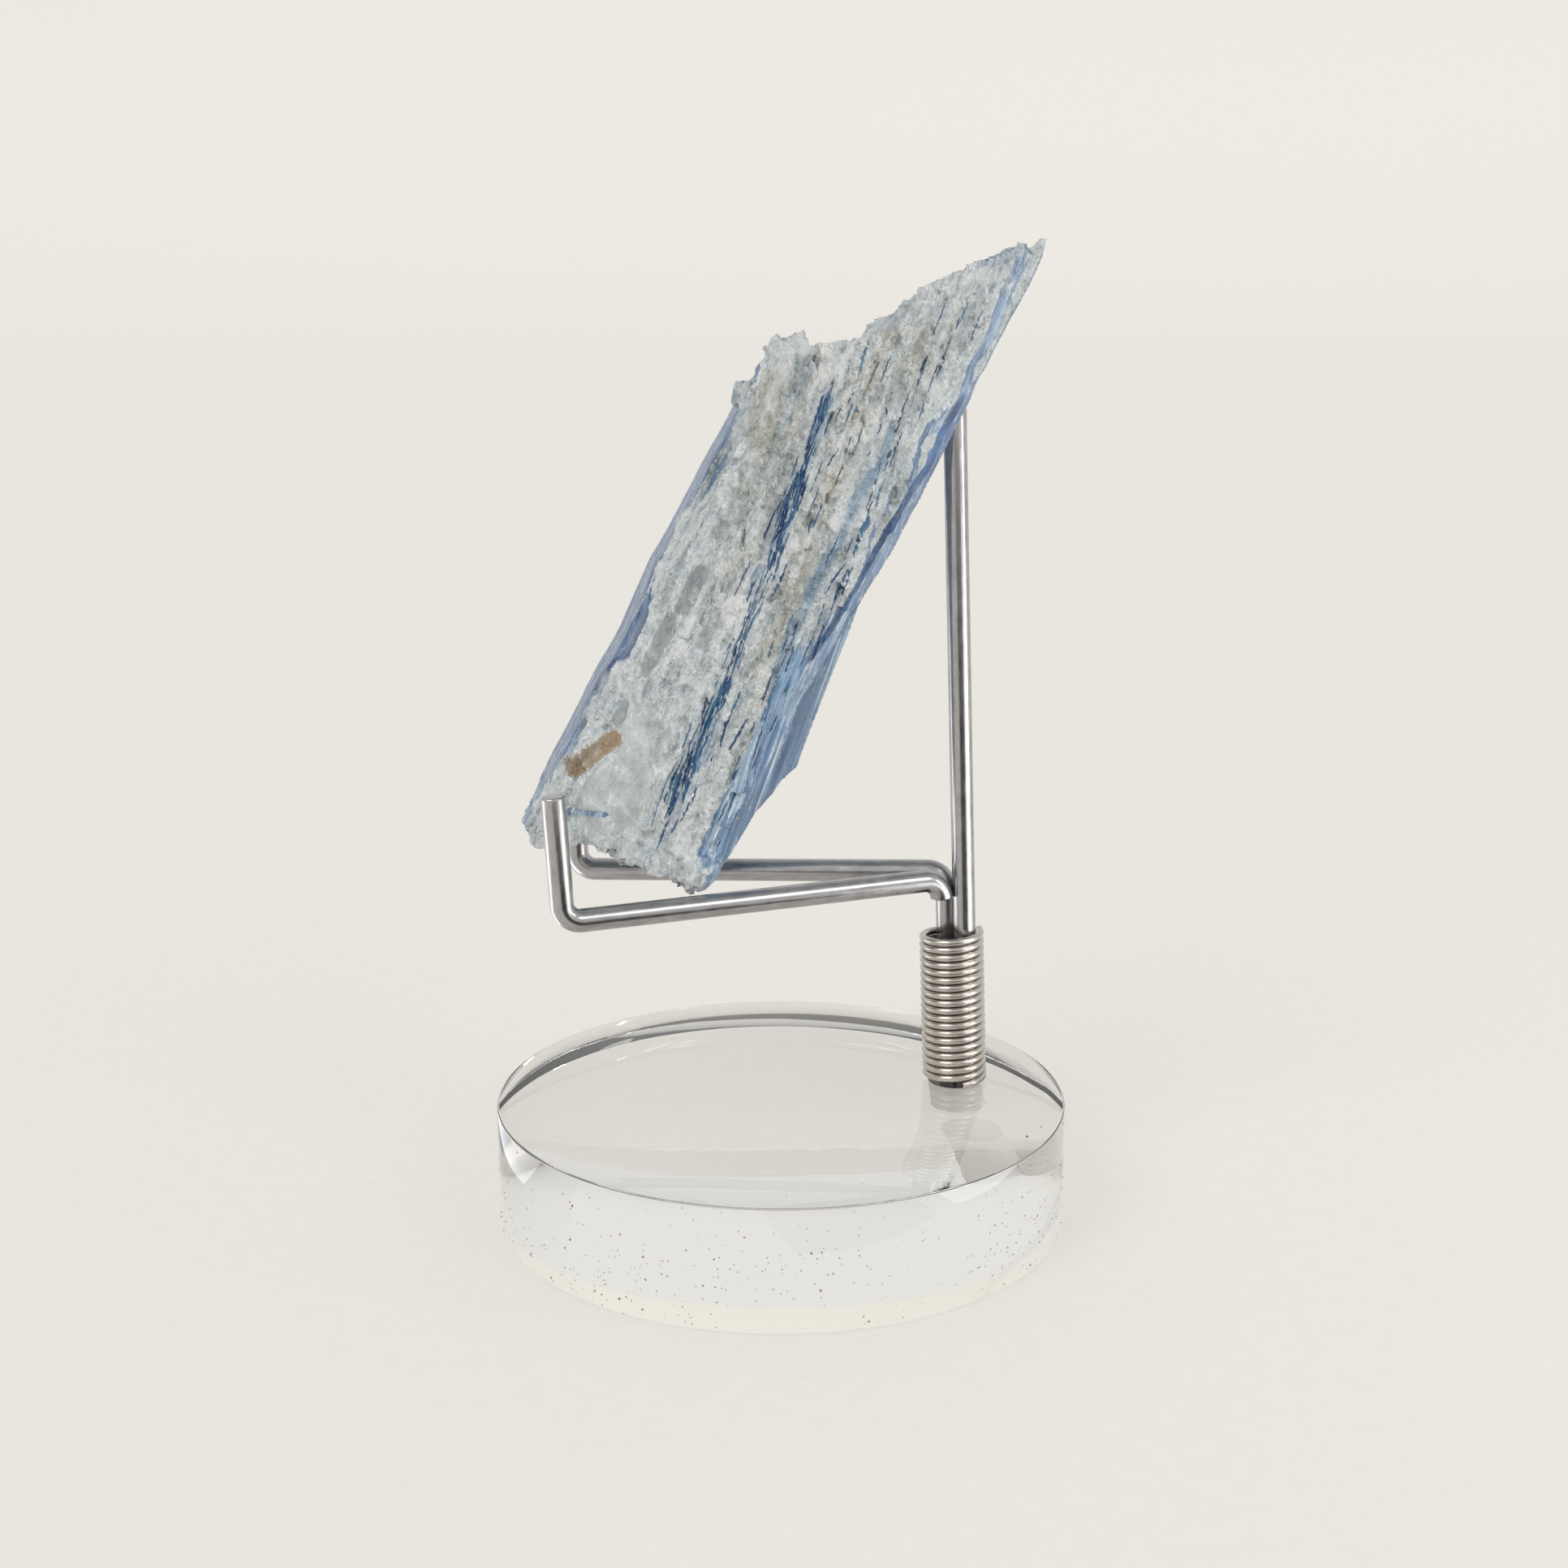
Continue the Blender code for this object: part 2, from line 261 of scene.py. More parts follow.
class Bench:
    """The node bench on which one material is laid out."""

    def __init__(self, name: str) -> None:
        """Start a material with a Principled shader and an output.

        Args:
            name: Name of the material.
        """
        self.made = bpy.data.materials.new(name)
        self.made.use_nodes = True
        self.tree = self.made.node_tree
        self.shader = self.tree.nodes["Principled BSDF"]
        self.output = self.tree.nodes["Material Output"]
        self.place = self.add("ShaderNodeTexCoord").outputs["Object"]

    def add(self, kind: str, **settings: object) -> bpy.types.Node:
        """Add a node and set its properties.

        Args:
            kind: Blender's name for the node type.
            settings: Properties of the node.

        Returns:
            The node.
        """
        node = self.tree.nodes.new(kind)
        for key, value in settings.items():
            setattr(node, key, value)
        return node

    def link(self, source: bpy.types.NodeSocket, target: bpy.types.NodeSocket) -> None:
        """Join two sockets."""
        self.tree.links.new(source, target)

    def feed(self, target: bpy.types.NodeSocket, value: object) -> None:
        """Link a socket, or set a plain value, on an input.

        Args:
            target: The input.
            value: A socket, a colour or a number.
        """
        if isinstance(value, bpy.types.NodeSocket):
            self.link(value, target)
        elif isinstance(value, tuple) and len(value) == 3 and len(target.default_value) == 4:
            target.default_value = (*value, 1.0)
        else:
            target.default_value = value

    def mapped(
        self,
        vector: bpy.types.NodeSocket,
        scale: Sequence[float] = (1, 1, 1),
        rotation: Sequence[float] = (0, 0, 0),
        location: Sequence[float] = (0, 0, 0),
    ) -> bpy.types.NodeSocket:
        """Scale, then turn, then move a coordinate.

        Args:
            vector: The coordinate.
            scale: Scale on each axis.
            rotation: Euler turn in radians.
            location: Offset after the turn.

        Returns:
            The mapped coordinate.
        """
        node = self.add("ShaderNodeMapping")
        node.inputs["Scale"].default_value = tuple(scale)
        node.inputs["Rotation"].default_value = tuple(rotation)
        node.inputs["Location"].default_value = tuple(location)
        self.link(vector, node.inputs["Vector"])
        return node.outputs["Vector"]

    def clouds(
        self, vector: bpy.types.NodeSocket, scale: float, detail: float = 3.0,
        rough: float = 0.5, distortion: float = 0.0,
    ) -> bpy.types.NodeSocket:
        """Fractal noise, about 0 to 1.

        Args:
            vector: The coordinate.
            scale: Cells for each unit of the coordinate.
            detail: Octaves.
            rough: Weight of the finer octaves.
            distortion: Warp.

        Returns:
            The noise value.
        """
        node = self.add("ShaderNodeTexNoise")
        node.inputs["Scale"].default_value = scale
        node.inputs["Detail"].default_value = detail
        node.inputs["Roughness"].default_value = rough
        node.inputs["Distortion"].default_value = distortion
        self.link(vector, node.inputs["Vector"])
        return node.outputs["Fac"]

    def warped(self, vector: bpy.types.NodeSocket, scale: float, amount: float) -> bpy.types.NodeSocket:
        """Push a coordinate about with soft noise.

        Args:
            vector: The coordinate.
            scale: Scale of the noise.
            amount: How far it pushes.

        Returns:
            The bent coordinate.
        """
        cloud = self.add("ShaderNodeTexNoise")
        cloud.inputs["Scale"].default_value = scale
        cloud.inputs["Detail"].default_value = 3.0
        self.link(vector, cloud.inputs["Vector"])
        bent = self.add("ShaderNodeVectorMath", operation="MULTIPLY_ADD")
        self.link(cloud.outputs["Color"], bent.inputs[0])
        bent.inputs[1].default_value = (amount, amount, amount)
        self.link(vector, bent.inputs[2])
        return bent.outputs["Vector"]

    def cells(self, vector: bpy.types.NodeSocket, scale: float, edge: bool = False) -> bpy.types.Node:
        """Cellular pattern.

        Args:
            vector: The coordinate.
            scale: Cells for each unit of the coordinate.
            edge: Give the distance to the nearest cell wall.

        Returns:
            The Voronoi node.
        """
        node = self.add("ShaderNodeTexVoronoi")
        if edge:
            node.feature = "DISTANCE_TO_EDGE"
        node.inputs["Scale"].default_value = scale
        self.link(vector, node.inputs["Vector"])
        return node

    def calc(
        self, operation: str, first: object, second: object = 0.0, clamp: bool = False,
    ) -> bpy.types.NodeSocket:
        """Arithmetic on two values.

        Args:
            operation: Name of the Math operation.
            first: Socket or number.
            second: Socket or number.
            clamp: Keep the result between 0 and 1.

        Returns:
            The result.
        """
        node = self.add("ShaderNodeMath", operation=operation, use_clamp=clamp)
        self.feed(node.inputs[0], first)
        self.feed(node.inputs[1], second)
        return node.outputs[0]

    def times(self, first: object, second: object) -> bpy.types.NodeSocket:
        """Product of two values."""
        return self.calc("MULTIPLY", first, second)

    def plus(self, first: object, second: object) -> bpy.types.NodeSocket:
        """Sum of two values."""
        return self.calc("ADD", first, second)

    def wear(
        self, value: bpy.types.NodeSocket, smooth_end: float, rough_end: float, top: float = 1.0,
    ) -> None:
        """Drive the shader's roughness from a value.

        Args:
            value: The value, from 0 to the top.
            smooth_end: Roughness at 0.
            rough_end: Roughness at the top.
            top: Where the second roughness is reached.
        """
        node = self.add("ShaderNodeMapRange")
        node.inputs["From Max"].default_value = top
        node.inputs["To Min"].default_value = smooth_end
        node.inputs["To Max"].default_value = rough_end
        self.link(value, node.inputs["Value"])
        self.link(node.outputs["Result"], self.shader.inputs["Roughness"])

    def step(self, value: bpy.types.NodeSocket, low: float, high: float) -> bpy.types.NodeSocket:
        """Soft threshold: 0 at low and 1 at high, either way round.

        Args:
            value: The value to cut.
            low: Where the result is 0.
            high: Where the result is 1.

        Returns:
            The cut value.
        """
        node = self.add("ShaderNodeMapRange", interpolation_type="SMOOTHSTEP", clamp=True)
        if low < high:
            ends = (low, high, 0.0, 1.0)
        else:
            ends = (high, low, 1.0, 0.0)
        for key, number in zip(("From Min", "From Max", "To Min", "To Max"), ends):
            node.inputs[key].default_value = number
        self.link(value, node.inputs["Value"])
        return node.outputs["Result"]

    def shades(
        self, value: bpy.types.NodeSocket, stops: Sequence[tuple[float, Colour]],
    ) -> bpy.types.NodeSocket:
        """Colours laid along a value.

        Args:
            value: The value, 0 to 1.
            stops: Place and colour of each stop.

        Returns:
            The colour.
        """
        node = self.add("ShaderNodeValToRGB")
        keys = node.color_ramp.elements
        while len(keys) < len(stops):
            keys.new(0.5)
        for key, (where, colour) in zip(keys, stops):
            key.position = where
            key.color = (*colour, 1.0)
        self.link(value, node.inputs["Fac"])
        return node.outputs["Color"]

    def mix(self, share: object, first: object, second: object, how: str = "MIX") -> bpy.types.NodeSocket:
        """Blend two colours.

        Args:
            share: Socket or number, how much of the second.
            first: Socket or colour.
            second: Socket or colour.
            how: Blend type.

        Returns:
            The colour.
        """
        node = self.add("ShaderNodeMix", data_type="RGBA", blend_type=how)
        self.feed(node.inputs["Factor"], share)
        colours = [socket for socket in node.inputs if socket.type == "RGBA"]
        self.feed(colours[0], first)
        self.feed(colours[1], second)
        return next(socket for socket in node.outputs if socket.type == "RGBA")

    def read(self, name: str) -> bpy.types.NodeSocket:
        """Number stored in the mesh under a name."""
        return self.add("ShaderNodeAttribute", attribute_name=name).outputs["Fac"]

    def read_vector(self, name: str) -> bpy.types.NodeSocket:
        """Vector stored in the mesh under a name."""
        return self.add("ShaderNodeAttribute", attribute_name=name).outputs["Vector"]

    def relief(self, height: bpy.types.NodeSocket, depth: float, strength: float = 1.0) -> None:
        """Drive the shader's normal from a height.

        Args:
            height: The height value.
            depth: Metres for a height of one.
            strength: Strength of the effect.
        """
        node = self.add("ShaderNodeBump")
        node.inputs["Distance"].default_value = depth
        node.inputs["Strength"].default_value = strength
        self.link(height, node.inputs["Height"])
        self.link(node.outputs["Normal"], self.shader.inputs["Normal"])

    def fix(self, **values: object) -> None:
        """Set the shader's own sockets; underscores stand for spaces."""
        for key, value in values.items():
            self.feed(self.shader.inputs[key.replace("_", " ")], value)


@dataclass(frozen=True)
class DrawnSteel:
    """Bright drawn steel wire with fine lengthwise die lines."""

    name: str
    dark: Colour = srgb(152, 151, 152)
    light: Colour = srgb(196, 195, 196)
    roughness: float = 0.2
    line_depth: float = 0.004 * MM

    def build(self) -> bpy.types.Material:
        """Lay the material out.

        Returns:
            The material.
        """
        bench = Bench(self.name)
        along = bench.read_vector("wire_way")
        lines = bench.clouds(bench.mapped(along, (14, 14, 0.22)), 1.0, 3, 0.6)
        smears = bench.clouds(bench.mapped(along, (1.6, 1.6, 0.5)), 1.0, 4, 0.6)
        tone = bench.plus(bench.times(lines, 0.45), bench.times(smears, 0.55))
        bench.fix(Base_Color=bench.shades(tone, ((0.3, self.dark), (0.72, self.light))), Metallic=1.0)
        bench.wear(smears, self.roughness - 0.06, self.roughness + 0.12)
        bench.relief(lines, self.line_depth)
        return bench.made


@dataclass(frozen=True)
class ClearAcrylic:
    """Water-clear cast acrylic with handling marks, plainly see-through."""

    name: str = "clear_cast_acrylic"
    tint: Colour = srgb(255, 254, 251)
    absorption: Colour = srgb(236, 236, 226)
    density: float = 2.0
    haze: tuple[float, float] = (0.012, 0.05)

    def build(self) -> bpy.types.Material:
        """Lay the material out.

        Returns:
            The material.
        """
        bench = Bench(self.name)
        millimetres = bench.mapped(bench.place, (1000, 1000, 1000))
        marks = bench.clouds(bench.mapped(millimetres, (0.1, 1.2, 1.2), (0, 0, 0.5)), 1.0, 4, 0.65)
        swirl = bench.clouds(millimetres, 0.11, 2)
        bench.wear(bench.step(marks, 0.5, 0.75), *self.haze)
        bench.fix(Base_Color=self.tint, Transmission_Weight=1.0, IOR=1.49)
        height = bench.plus(bench.times(swirl, 0.02), bench.times(marks, 0.0012))
        bench.relief(height, MM)
        inside = bench.add("ShaderNodeVolumeAbsorption")
        inside.inputs["Color"].default_value = (*self.absorption, 1.0)
        inside.inputs["Density"].default_value = self.density
        bench.link(inside.outputs[0], bench.output.inputs["Volume"])
        return bench.made


@dataclass(frozen=True)
class DrilledAcrylic:
    """Whitened, matt wall of the drilled socket."""

    name: str = "drilled_acrylic_wall"
    white: Colour = srgb(252, 251, 249)
    shade: Colour = srgb(238, 237, 233)

    def build(self) -> bpy.types.Material:
        """Lay the material out.

        Returns:
            The material.
        """
        bench = Bench(self.name)
        millimetres = bench.mapped(bench.place, (1000, 1000, 1000))
        rings = bench.clouds(bench.mapped(millimetres, (0.4, 0.4, 5)), 1.0, 3, 0.6)
        bench.fix(
            Base_Color=bench.shades(rings, ((0.35, self.shade), (0.6, self.white))),
            Roughness=0.6, Transmission_Weight=0.12, IOR=1.49,
        )
        bench.relief(rings, 0.06 * MM)
        return bench.made


@dataclass(frozen=True)
class SettledDust:
    """Grey-brown crumbs of dust and grit."""

    name: str = "settled_dust"
    dark: Colour = srgb(122, 114, 103)
    pale: Colour = srgb(186, 178, 167)

    def build(self) -> bpy.types.Material:
        """Lay the material out.

        Returns:
            The material.
        """
        bench = Bench(self.name)
        crumb = bench.clouds(bench.mapped(bench.place, (1000, 1000, 1000)), 1.3, 3, 0.6)
        bench.fix(Base_Color=bench.shades(crumb, ((0.38, self.dark), (0.62, self.pale))), Roughness=0.9)
        bench.relief(crumb, 0.05 * MM)
        return bench.made


@dataclass(frozen=True)
class PalePaper:
    """Warm white studio paper with a faint tooth, lit softly from behind."""

    name: str = "pale_paper"
    light: Colour = srgb(160, 158, 154)
    shade: Colour = srgb(156, 154, 150)
    glow: Colour = (1.0, 0.968, 0.912)
    glow_strength: float = 0.515

    def build(self) -> bpy.types.Material:
        """Lay the material out.

        Returns:
            The material.
        """
        bench = Bench(self.name)
        millimetres = bench.mapped(bench.place, (1000, 1000, 1000))
        tooth = bench.clouds(millimetres, 0.35, 5, 0.6)
        bench.fix(Base_Color=bench.shades(tooth, ((0.35, self.shade), (0.65, self.light))), Roughness=0.9)
        bench.fix(Specular_IOR_Level=0.0, Emission_Color=self.glow, Emission_Strength=self.glow_strength)
        bench.relief(tooth, 0.12 * MM)
        return bench.made


@dataclass(frozen=True)
class StoneAxes:
    """The stone's own axes: along its blades, across its width, and thickness.

    Numbers on these axes are millimetres. The blades run a few degrees off
    the outline, so the grain has axes of its own, turned by that angle.
    """

    foot: tuple[float, float, float] = (-3.0, -11.6, 43.1)
    lean: float = math.radians(61.7)
    turn: float = math.radians(4.8)
    grain: float = math.radians(8.1)

    def matrix(self) -> Matrix:
        """Turn from the stone's axes to the world's.

        Returns:
            The turn, with the stone's axes as its columns.
        """
        level = Vector((math.sin(self.turn), math.cos(self.turn), 0))
        up = Vector((0, 0, 1))
        length = level * math.cos(self.lean) + up * math.sin(self.lean)
        width = up * math.cos(self.lean) - level * math.sin(self.lean)
        return Matrix((length, width, length.cross(width))).transposed()

    def to_stone(self, places: np.ndarray) -> np.ndarray:
        """World places in metres as stone places in millimetres."""
        return (places / MM - np.array(self.foot)) @ np.array(self.matrix())

    def to_world(self, places: np.ndarray) -> np.ndarray:
        """Stone places in millimetres as world places in metres."""
        return (places @ np.array(self.matrix()).T + np.array(self.foot)) * MM

    def along_grain(self, places: np.ndarray) -> np.ndarray:
        """Stone places turned so that the first axis follows the blades.

        Args:
            places: Rows of stone coordinates in millimetres.

        Returns:
            The turned rows.
        """
        c, s = math.cos(self.grain), math.sin(self.grain)
        x, y = places[:, 0], places[:, 1]
        return np.column_stack((x * c + y * s, y * c - x * s, places[:, 2]))

    def grain_coordinate(self, bench: Bench) -> bpy.types.NodeSocket:
        """Coordinate in millimetres, its first axis along the blades.

        Args:
            bench: The material being laid out.

        Returns:
            The coordinate.
        """
        spin = Matrix.Rotation(-self.grain, 3, "Z") @ self.matrix().transposed()
        start = -(spin @ Vector(self.foot))
        return bench.mapped(bench.place, (1000, 1000, 1000), spin.to_euler("XYZ"), start)


@dataclass(frozen=True)
class KyaniteStone:
    """Blue kyanite blades in a pale granular crust with quartz and streaks."""

    axes: StoneAxes
    name: str = "kyanite_in_crust"
    crust_low: Colour = srgb(184, 196, 202)
    crust_mid: Colour = srgb(210, 220, 224)
    crust_high: Colour = srgb(242, 246, 247)
    crust_blue: Colour = srgb(146, 170, 194)
    glass_low: Colour = srgb(118, 131, 138)
    glass_mid: Colour = srgb(178, 190, 195)
    warm: Colour = srgb(226, 212, 190)
    umber: Colour = srgb(214, 208, 194)
    # Colour of the shade painted into the relief's hollows.
    hollow_shade: Colour = srgb(178, 186, 190)
    seam_low: Colour = srgb(12, 50, 104)
    seam_high: Colour = srgb(38, 98, 150)
    lilac: Colour = srgb(116, 140, 168)
    veil_low: Colour = srgb(140, 168, 200)
    veil_high: Colour = srgb(194, 213, 230)
    blue_low: Colour = srgb(44, 78, 126)
    blue_mid: Colour = srgb(106, 134, 168)
    blue_high: Colour = srgb(154, 180, 202)
    streak_navy: Colour = srgb(20, 60, 106)
    streak_teal: Colour = srgb(58, 112, 142)
    quartz_low: Colour = srgb(162, 170, 172)
    quartz_high: Colour = srgb(198, 205, 208)
    smoky_low: Colour = srgb(104, 114, 116)
    smoky_high: Colour = srgb(150, 158, 160)
    rust_dark: Colour = srgb(86, 58, 22)
    rust_light: Colour = srgb(166, 140, 98)
    white: Colour = srgb(248, 250, 250)

    @staticmethod
    def threads(
        bench: Bench, vector: bpy.types.NodeSocket, scale: float, width: float,
    ) -> bpy.types.NodeSocket:
        """Thin wandering lines.

        Args:
            bench: The material being laid out.
            vector: The coordinate.
            scale: Scale of the noise the lines follow.
            width: Half width of a line, as a step of the noise.

        Returns:
            One on a line and zero between.
        """
        level = bench.clouds(bench.mapped(vector, location=(scale, 5, 7)), scale, 5, 0.6)
        return bench.step(bench.calc("ABSOLUTE", bench.calc("SUBTRACT", level, 0.5)), width, width * 0.25)

    def crust(self, bench: Bench, grain: bpy.types.NodeSocket) -> bpy.types.NodeSocket:
        """Colour of the crust: glassy flakes crossed by white threads, with dark threads and dark spots of painted
        shade.

        Args:
            bench: The material being laid out.
            grain: Coordinate along the blades.

        Returns:
            The colour.
        """
        broad = bench.clouds(bench.mapped(grain, (0.3, 1, 1)), 0.42, 6, 0.68)
        body = bench.shades(broad, ((0.3, self.crust_low), (0.5, self.crust_mid), (0.7, self.crust_high)))
        blue_veil = bench.clouds(bench.mapped(grain, (0.12, 0.9, 0.9)), 1.0, 4, 0.6)
        body = bench.mix(bench.times(bench.step(blue_veil, 0.48, 0.72), 0.5), body, self.crust_blue)
        bent = bench.mapped(bench.warped(grain, 0.8, 1.4), (0.45, 1, 1))
        flakes = bench.clouds(bent, 1.7, 8, 0.74)
        glassy = bench.shades(flakes, (
            (0.37, self.glass_low), (0.44, self.glass_mid), (0.51, self.crust_mid), (0.6, self.crust_high),
        ))
        body = bench.mix(0.6, body, glassy)
        warm_cloud = bench.clouds(bench.mapped(grain, (0.2, 0.5, 0.5), location=(31, 7, 3)), 1.0, 5, 0.62)
        heat = bench.times(bench.step(warm_cloud, 0.36, 0.6), bench.read(Zone.WARM.value))
        body = bench.mix(bench.times(heat, 0.75), body, self.warm, "MULTIPLY")
        patchy = bench.step(bench.clouds(bench.mapped(grain, (0.5, 1, 1)), 1.3, 4, 0.65), 0.42, 0.6)
        # The two white threads are white flakes; the third, dark thread is painted shade, the shadow lines of fine
        # crevices.
        for scale, width, share, colour in (
            (1.0, 0.03, 0.95, self.white), (2.3, 0.034, 0.8, self.white), (1.5, 0.026, 0.75, self.glass_low),
        ):
            thread = bench.times(self.threads(bench, bent, scale, width), patchy)
            body = bench.mix(bench.times(thread, share), body, colour)
        # Painted shade: darker glassy spots at random, standing for the shade in small pits.
        pit_shade = bench.clouds(bench.mapped(grain, (0.6, 1, 1)), 2.6, 4, 0.7)
        return bench.mix(bench.times(bench.step(pit_shade, 0.42, 0.3), 0.35), body, self.glass_low)

    def ribs(self, bench: Bench, grain: bpy.types.NodeSocket) -> bpy.types.NodeSocket:
        """Colour of the ribbed blades that show edge on.

        Args:
            bench: The material being laid out.
            grain: Coordinate along the blades.

        Returns:
            The colour.
        """
        lines = bench.clouds(bench.mapped(grain, (0.05, 1.5, 1.2)), 1.0, 5, 0.62)
        return bench.shades(lines, (
            (0.3, self.streak_navy), (0.36, self.streak_teal), (0.46, srgb(116, 150, 186)),
            (0.57, srgb(164, 188, 212)), (0.68, self.white),
        ))

    def blades(self, bench: Bench, grain: bpy.types.NodeSocket) -> bpy.types.NodeSocket:
        """Colour of the smooth blue cleavage faces.

        Args:
            bench: The material being laid out.
            grain: Coordinate along the blades.

        Returns:
            The colour.
        """
        sheen = bench.clouds(bench.mapped(grain, (0.035, 0.7, 0.7)), 1.0, 5, 0.6)
        body = bench.shades(sheen, ((0.3, self.blue_low), (0.48, self.blue_mid), (0.66, self.blue_high)))
        drift = bench.clouds(bench.mapped(grain, (0.1, 0.3, 0.3), location=(3, 1, 8)), 1.0, 3)
        body = bench.mix(bench.times(bench.step(drift, 0.4, 0.6), 0.7), body, self.lilac)
        strands = bench.clouds(bench.mapped(grain, (0.02, 3.6, 3.6), location=(0, 2, 4)), 1.0, 3, 0.6)
        body = bench.mix(bench.times(bench.step(strands, 0.56, 0.64), 0.55), body, self.crust_high)
        hair = bench.clouds(bench.mapped(grain, (0.06, 2.6, 2.6), location=(0, 5, 9)), 1.0, 4, 0.65)
        body = bench.mix(bench.times(bench.step(hair, 0.42, 0.3), 0.7), body, self.streak_navy)
        frost = bench.clouds(bench.mapped(grain, (0.3, 1, 1)), 1.1, 5, 0.72)
        return bench.mix(bench.times(bench.step(frost, 0.54, 0.74), 0.5), body, self.crust_high)

    def build(self) -> bpy.types.Material:
        """Lay the material out.

        Returns:
            The material.
        """
        bench = Bench(self.name)
        grain = self.axes.grain_coordinate(bench)
        ragged = bench.clouds(bench.mapped(grain, (0.35, 1, 1)), 1.1, 5, 0.65)
        shift = bench.times(bench.calc("SUBTRACT", ragged, 0.5), 1.1)

        def zone(part: Zone, low: float = 0.4, high: float = 0.6) -> bpy.types.NodeSocket:
            """A zone's share, its border made ragged."""
            return bench.step(bench.plus(bench.read(part.value), shift), low, high)

        body = self.crust(bench, grain)
        quartz_cloud = bench.clouds(bench.mapped(grain, (0.8, 1, 1)), 0.35, 3, 0.55, 0.6)
        quartz = bench.shades(quartz_cloud, ((0.35, self.quartz_low), (0.65, self.quartz_high)))
        breaks = bench.cells(bench.warped(grain, 0.22, 7.0), 0.26, edge=True)
        crack = bench.times(bench.step(breaks.outputs[0], 0.022, 0.004), bench.step(quartz_cloud, 0.48, 0.6))
        quartz = bench.mix(bench.times(crack, 0.7), quartz, self.white)
        body = bench.mix(bench.times(zone(Zone.QUARTZ), 0.85), body, quartz)
        haze = bench.clouds(grain, 1.1, 4, 0.6)
        smoke = bench.shades(haze, ((0.38, self.smoky_low), (0.62, self.smoky_high)))
        body = bench.mix(bench.times(zone(Zone.SMOKY, 0.38, 0.7), 0.72), body, smoke)
        body = bench.mix(bench.times(zone(Zone.UMBER, 0.3, 1.0), 0.8), body, self.umber, "MULTIPLY")
        lilac = bench.shades(ragged, ((0.38, self.veil_low), (0.6, self.veil_high)))
        body = bench.mix(bench.times(zone(Zone.VEIL, 0.2, 0.9), 0.95), body, lilac, "MULTIPLY")
        body = bench.mix(zone(Zone.RIBBED), body, self.ribs(bench, grain))
        shade = bench.times(bench.read(Zone.VEIL.value), 0.85)
        shaded = bench.mix(shade, self.blades(bench, grain), self.veil_high, "MULTIPLY")
        body = bench.mix(zone(Zone.CLEAVAGE), body, shaded)
        hair = bench.clouds(bench.mapped(grain, (0.1, 2.7, 2.7)), 1.0, 4, 0.6)
        band = bench.read(Zone.STREAK.value)
        streak = bench.step(bench.plus(bench.times(band, 0.2), hair), 0.69, 0.74)
        hue = bench.clouds(bench.mapped(grain, (0.2, 1, 1)), 0.9, 3)
        navy = bench.shades(hue, ((0.4, self.streak_navy), (0.62, self.streak_teal)))
        body = bench.mix(bench.times(streak, bench.step(band, 0.02, 0.12)), body, navy)
        ink = bench.shades(hue, ((0.44, self.seam_low), (0.66, self.seam_high)))
        thin = bench.step(bench.clouds(bench.mapped(grain, (0.1, 1.3, 1.3)), 1.0, 3), 0.4, 0.6)
        veil = bench.times(bench.times(bench.step(band, 0.12, 0.7), thin), 0.5)
        body = bench.mix(veil, body, srgb(116, 152, 184))
        line = bench.step(bench.plus(bench.read(Zone.SEAM.value), bench.times(shift, 0.4)), 0.26, 0.6)
        body = bench.mix(bench.times(line, 0.94), body, ink)
        rust_cloud = bench.clouds(grain, 2.4, 6, 0.75)
        rust = bench.shades(rust_cloud, ((0.35, self.rust_dark), (0.6, self.rust_light)))
        ragged_rust = bench.times(bench.calc("SUBTRACT", rust_cloud, 0.5), 4.0)
        patchy = bench.step(bench.plus(bench.read(Zone.RUST.value), ragged_rust), 0.2, 0.8)
        body = bench.mix(bench.times(patchy, 0.92), body, rust)
        # Pale tip and pale patches, and one painted glint streak, mixed toward white.
        body = bench.mix(bench.times(zone(Zone.PALE), 0.75), body, self.white)
        # Painted light from the relief's height: hollows darkened as painted shade, ridges whitened as painted
        # highlight.
        body = bench.mix(bench.times(bench.read(Zone.HOLLOW.value), 0.5), body, self.hollow_shade, "MULTIPLY")
        body = bench.mix(bench.times(bench.read(Zone.RAISED.value), 0.45), body, self.white)
        bench.link(body, bench.shader.inputs["Base Color"])

        polish = bench.calc("MAXIMUM", bench.read(Zone.CLEAVAGE.value), bench.read(Zone.QUARTZ.value))
        polish = bench.calc("MAXIMUM", polish, bench.read(Zone.SMOKY.value))
        spark = bench.add("ShaderNodeRGBToBW")
        bench.link(bench.cells(bench.mapped(grain, (0.7, 1, 1)), 2.4).outputs["Color"], spark.inputs[0])
        gloss = bench.times(bench.clouds(grain, 2.2, 3), 0.8)
        gleam = bench.plus(gloss, bench.step(spark.outputs[0], 0.62, 0.7))
        bench.wear(bench.plus(bench.times(polish, 0.75), bench.times(gleam, 0.45)), 0.6, 0.16, top=1.2)
        bench.fix(IOR=1.6, Subsurface_Weight=0.04, Subsurface_Scale=0.9 * MM)
        bench.shader.inputs["Subsurface Radius"].default_value = (0.8, 1.0, 1.2)

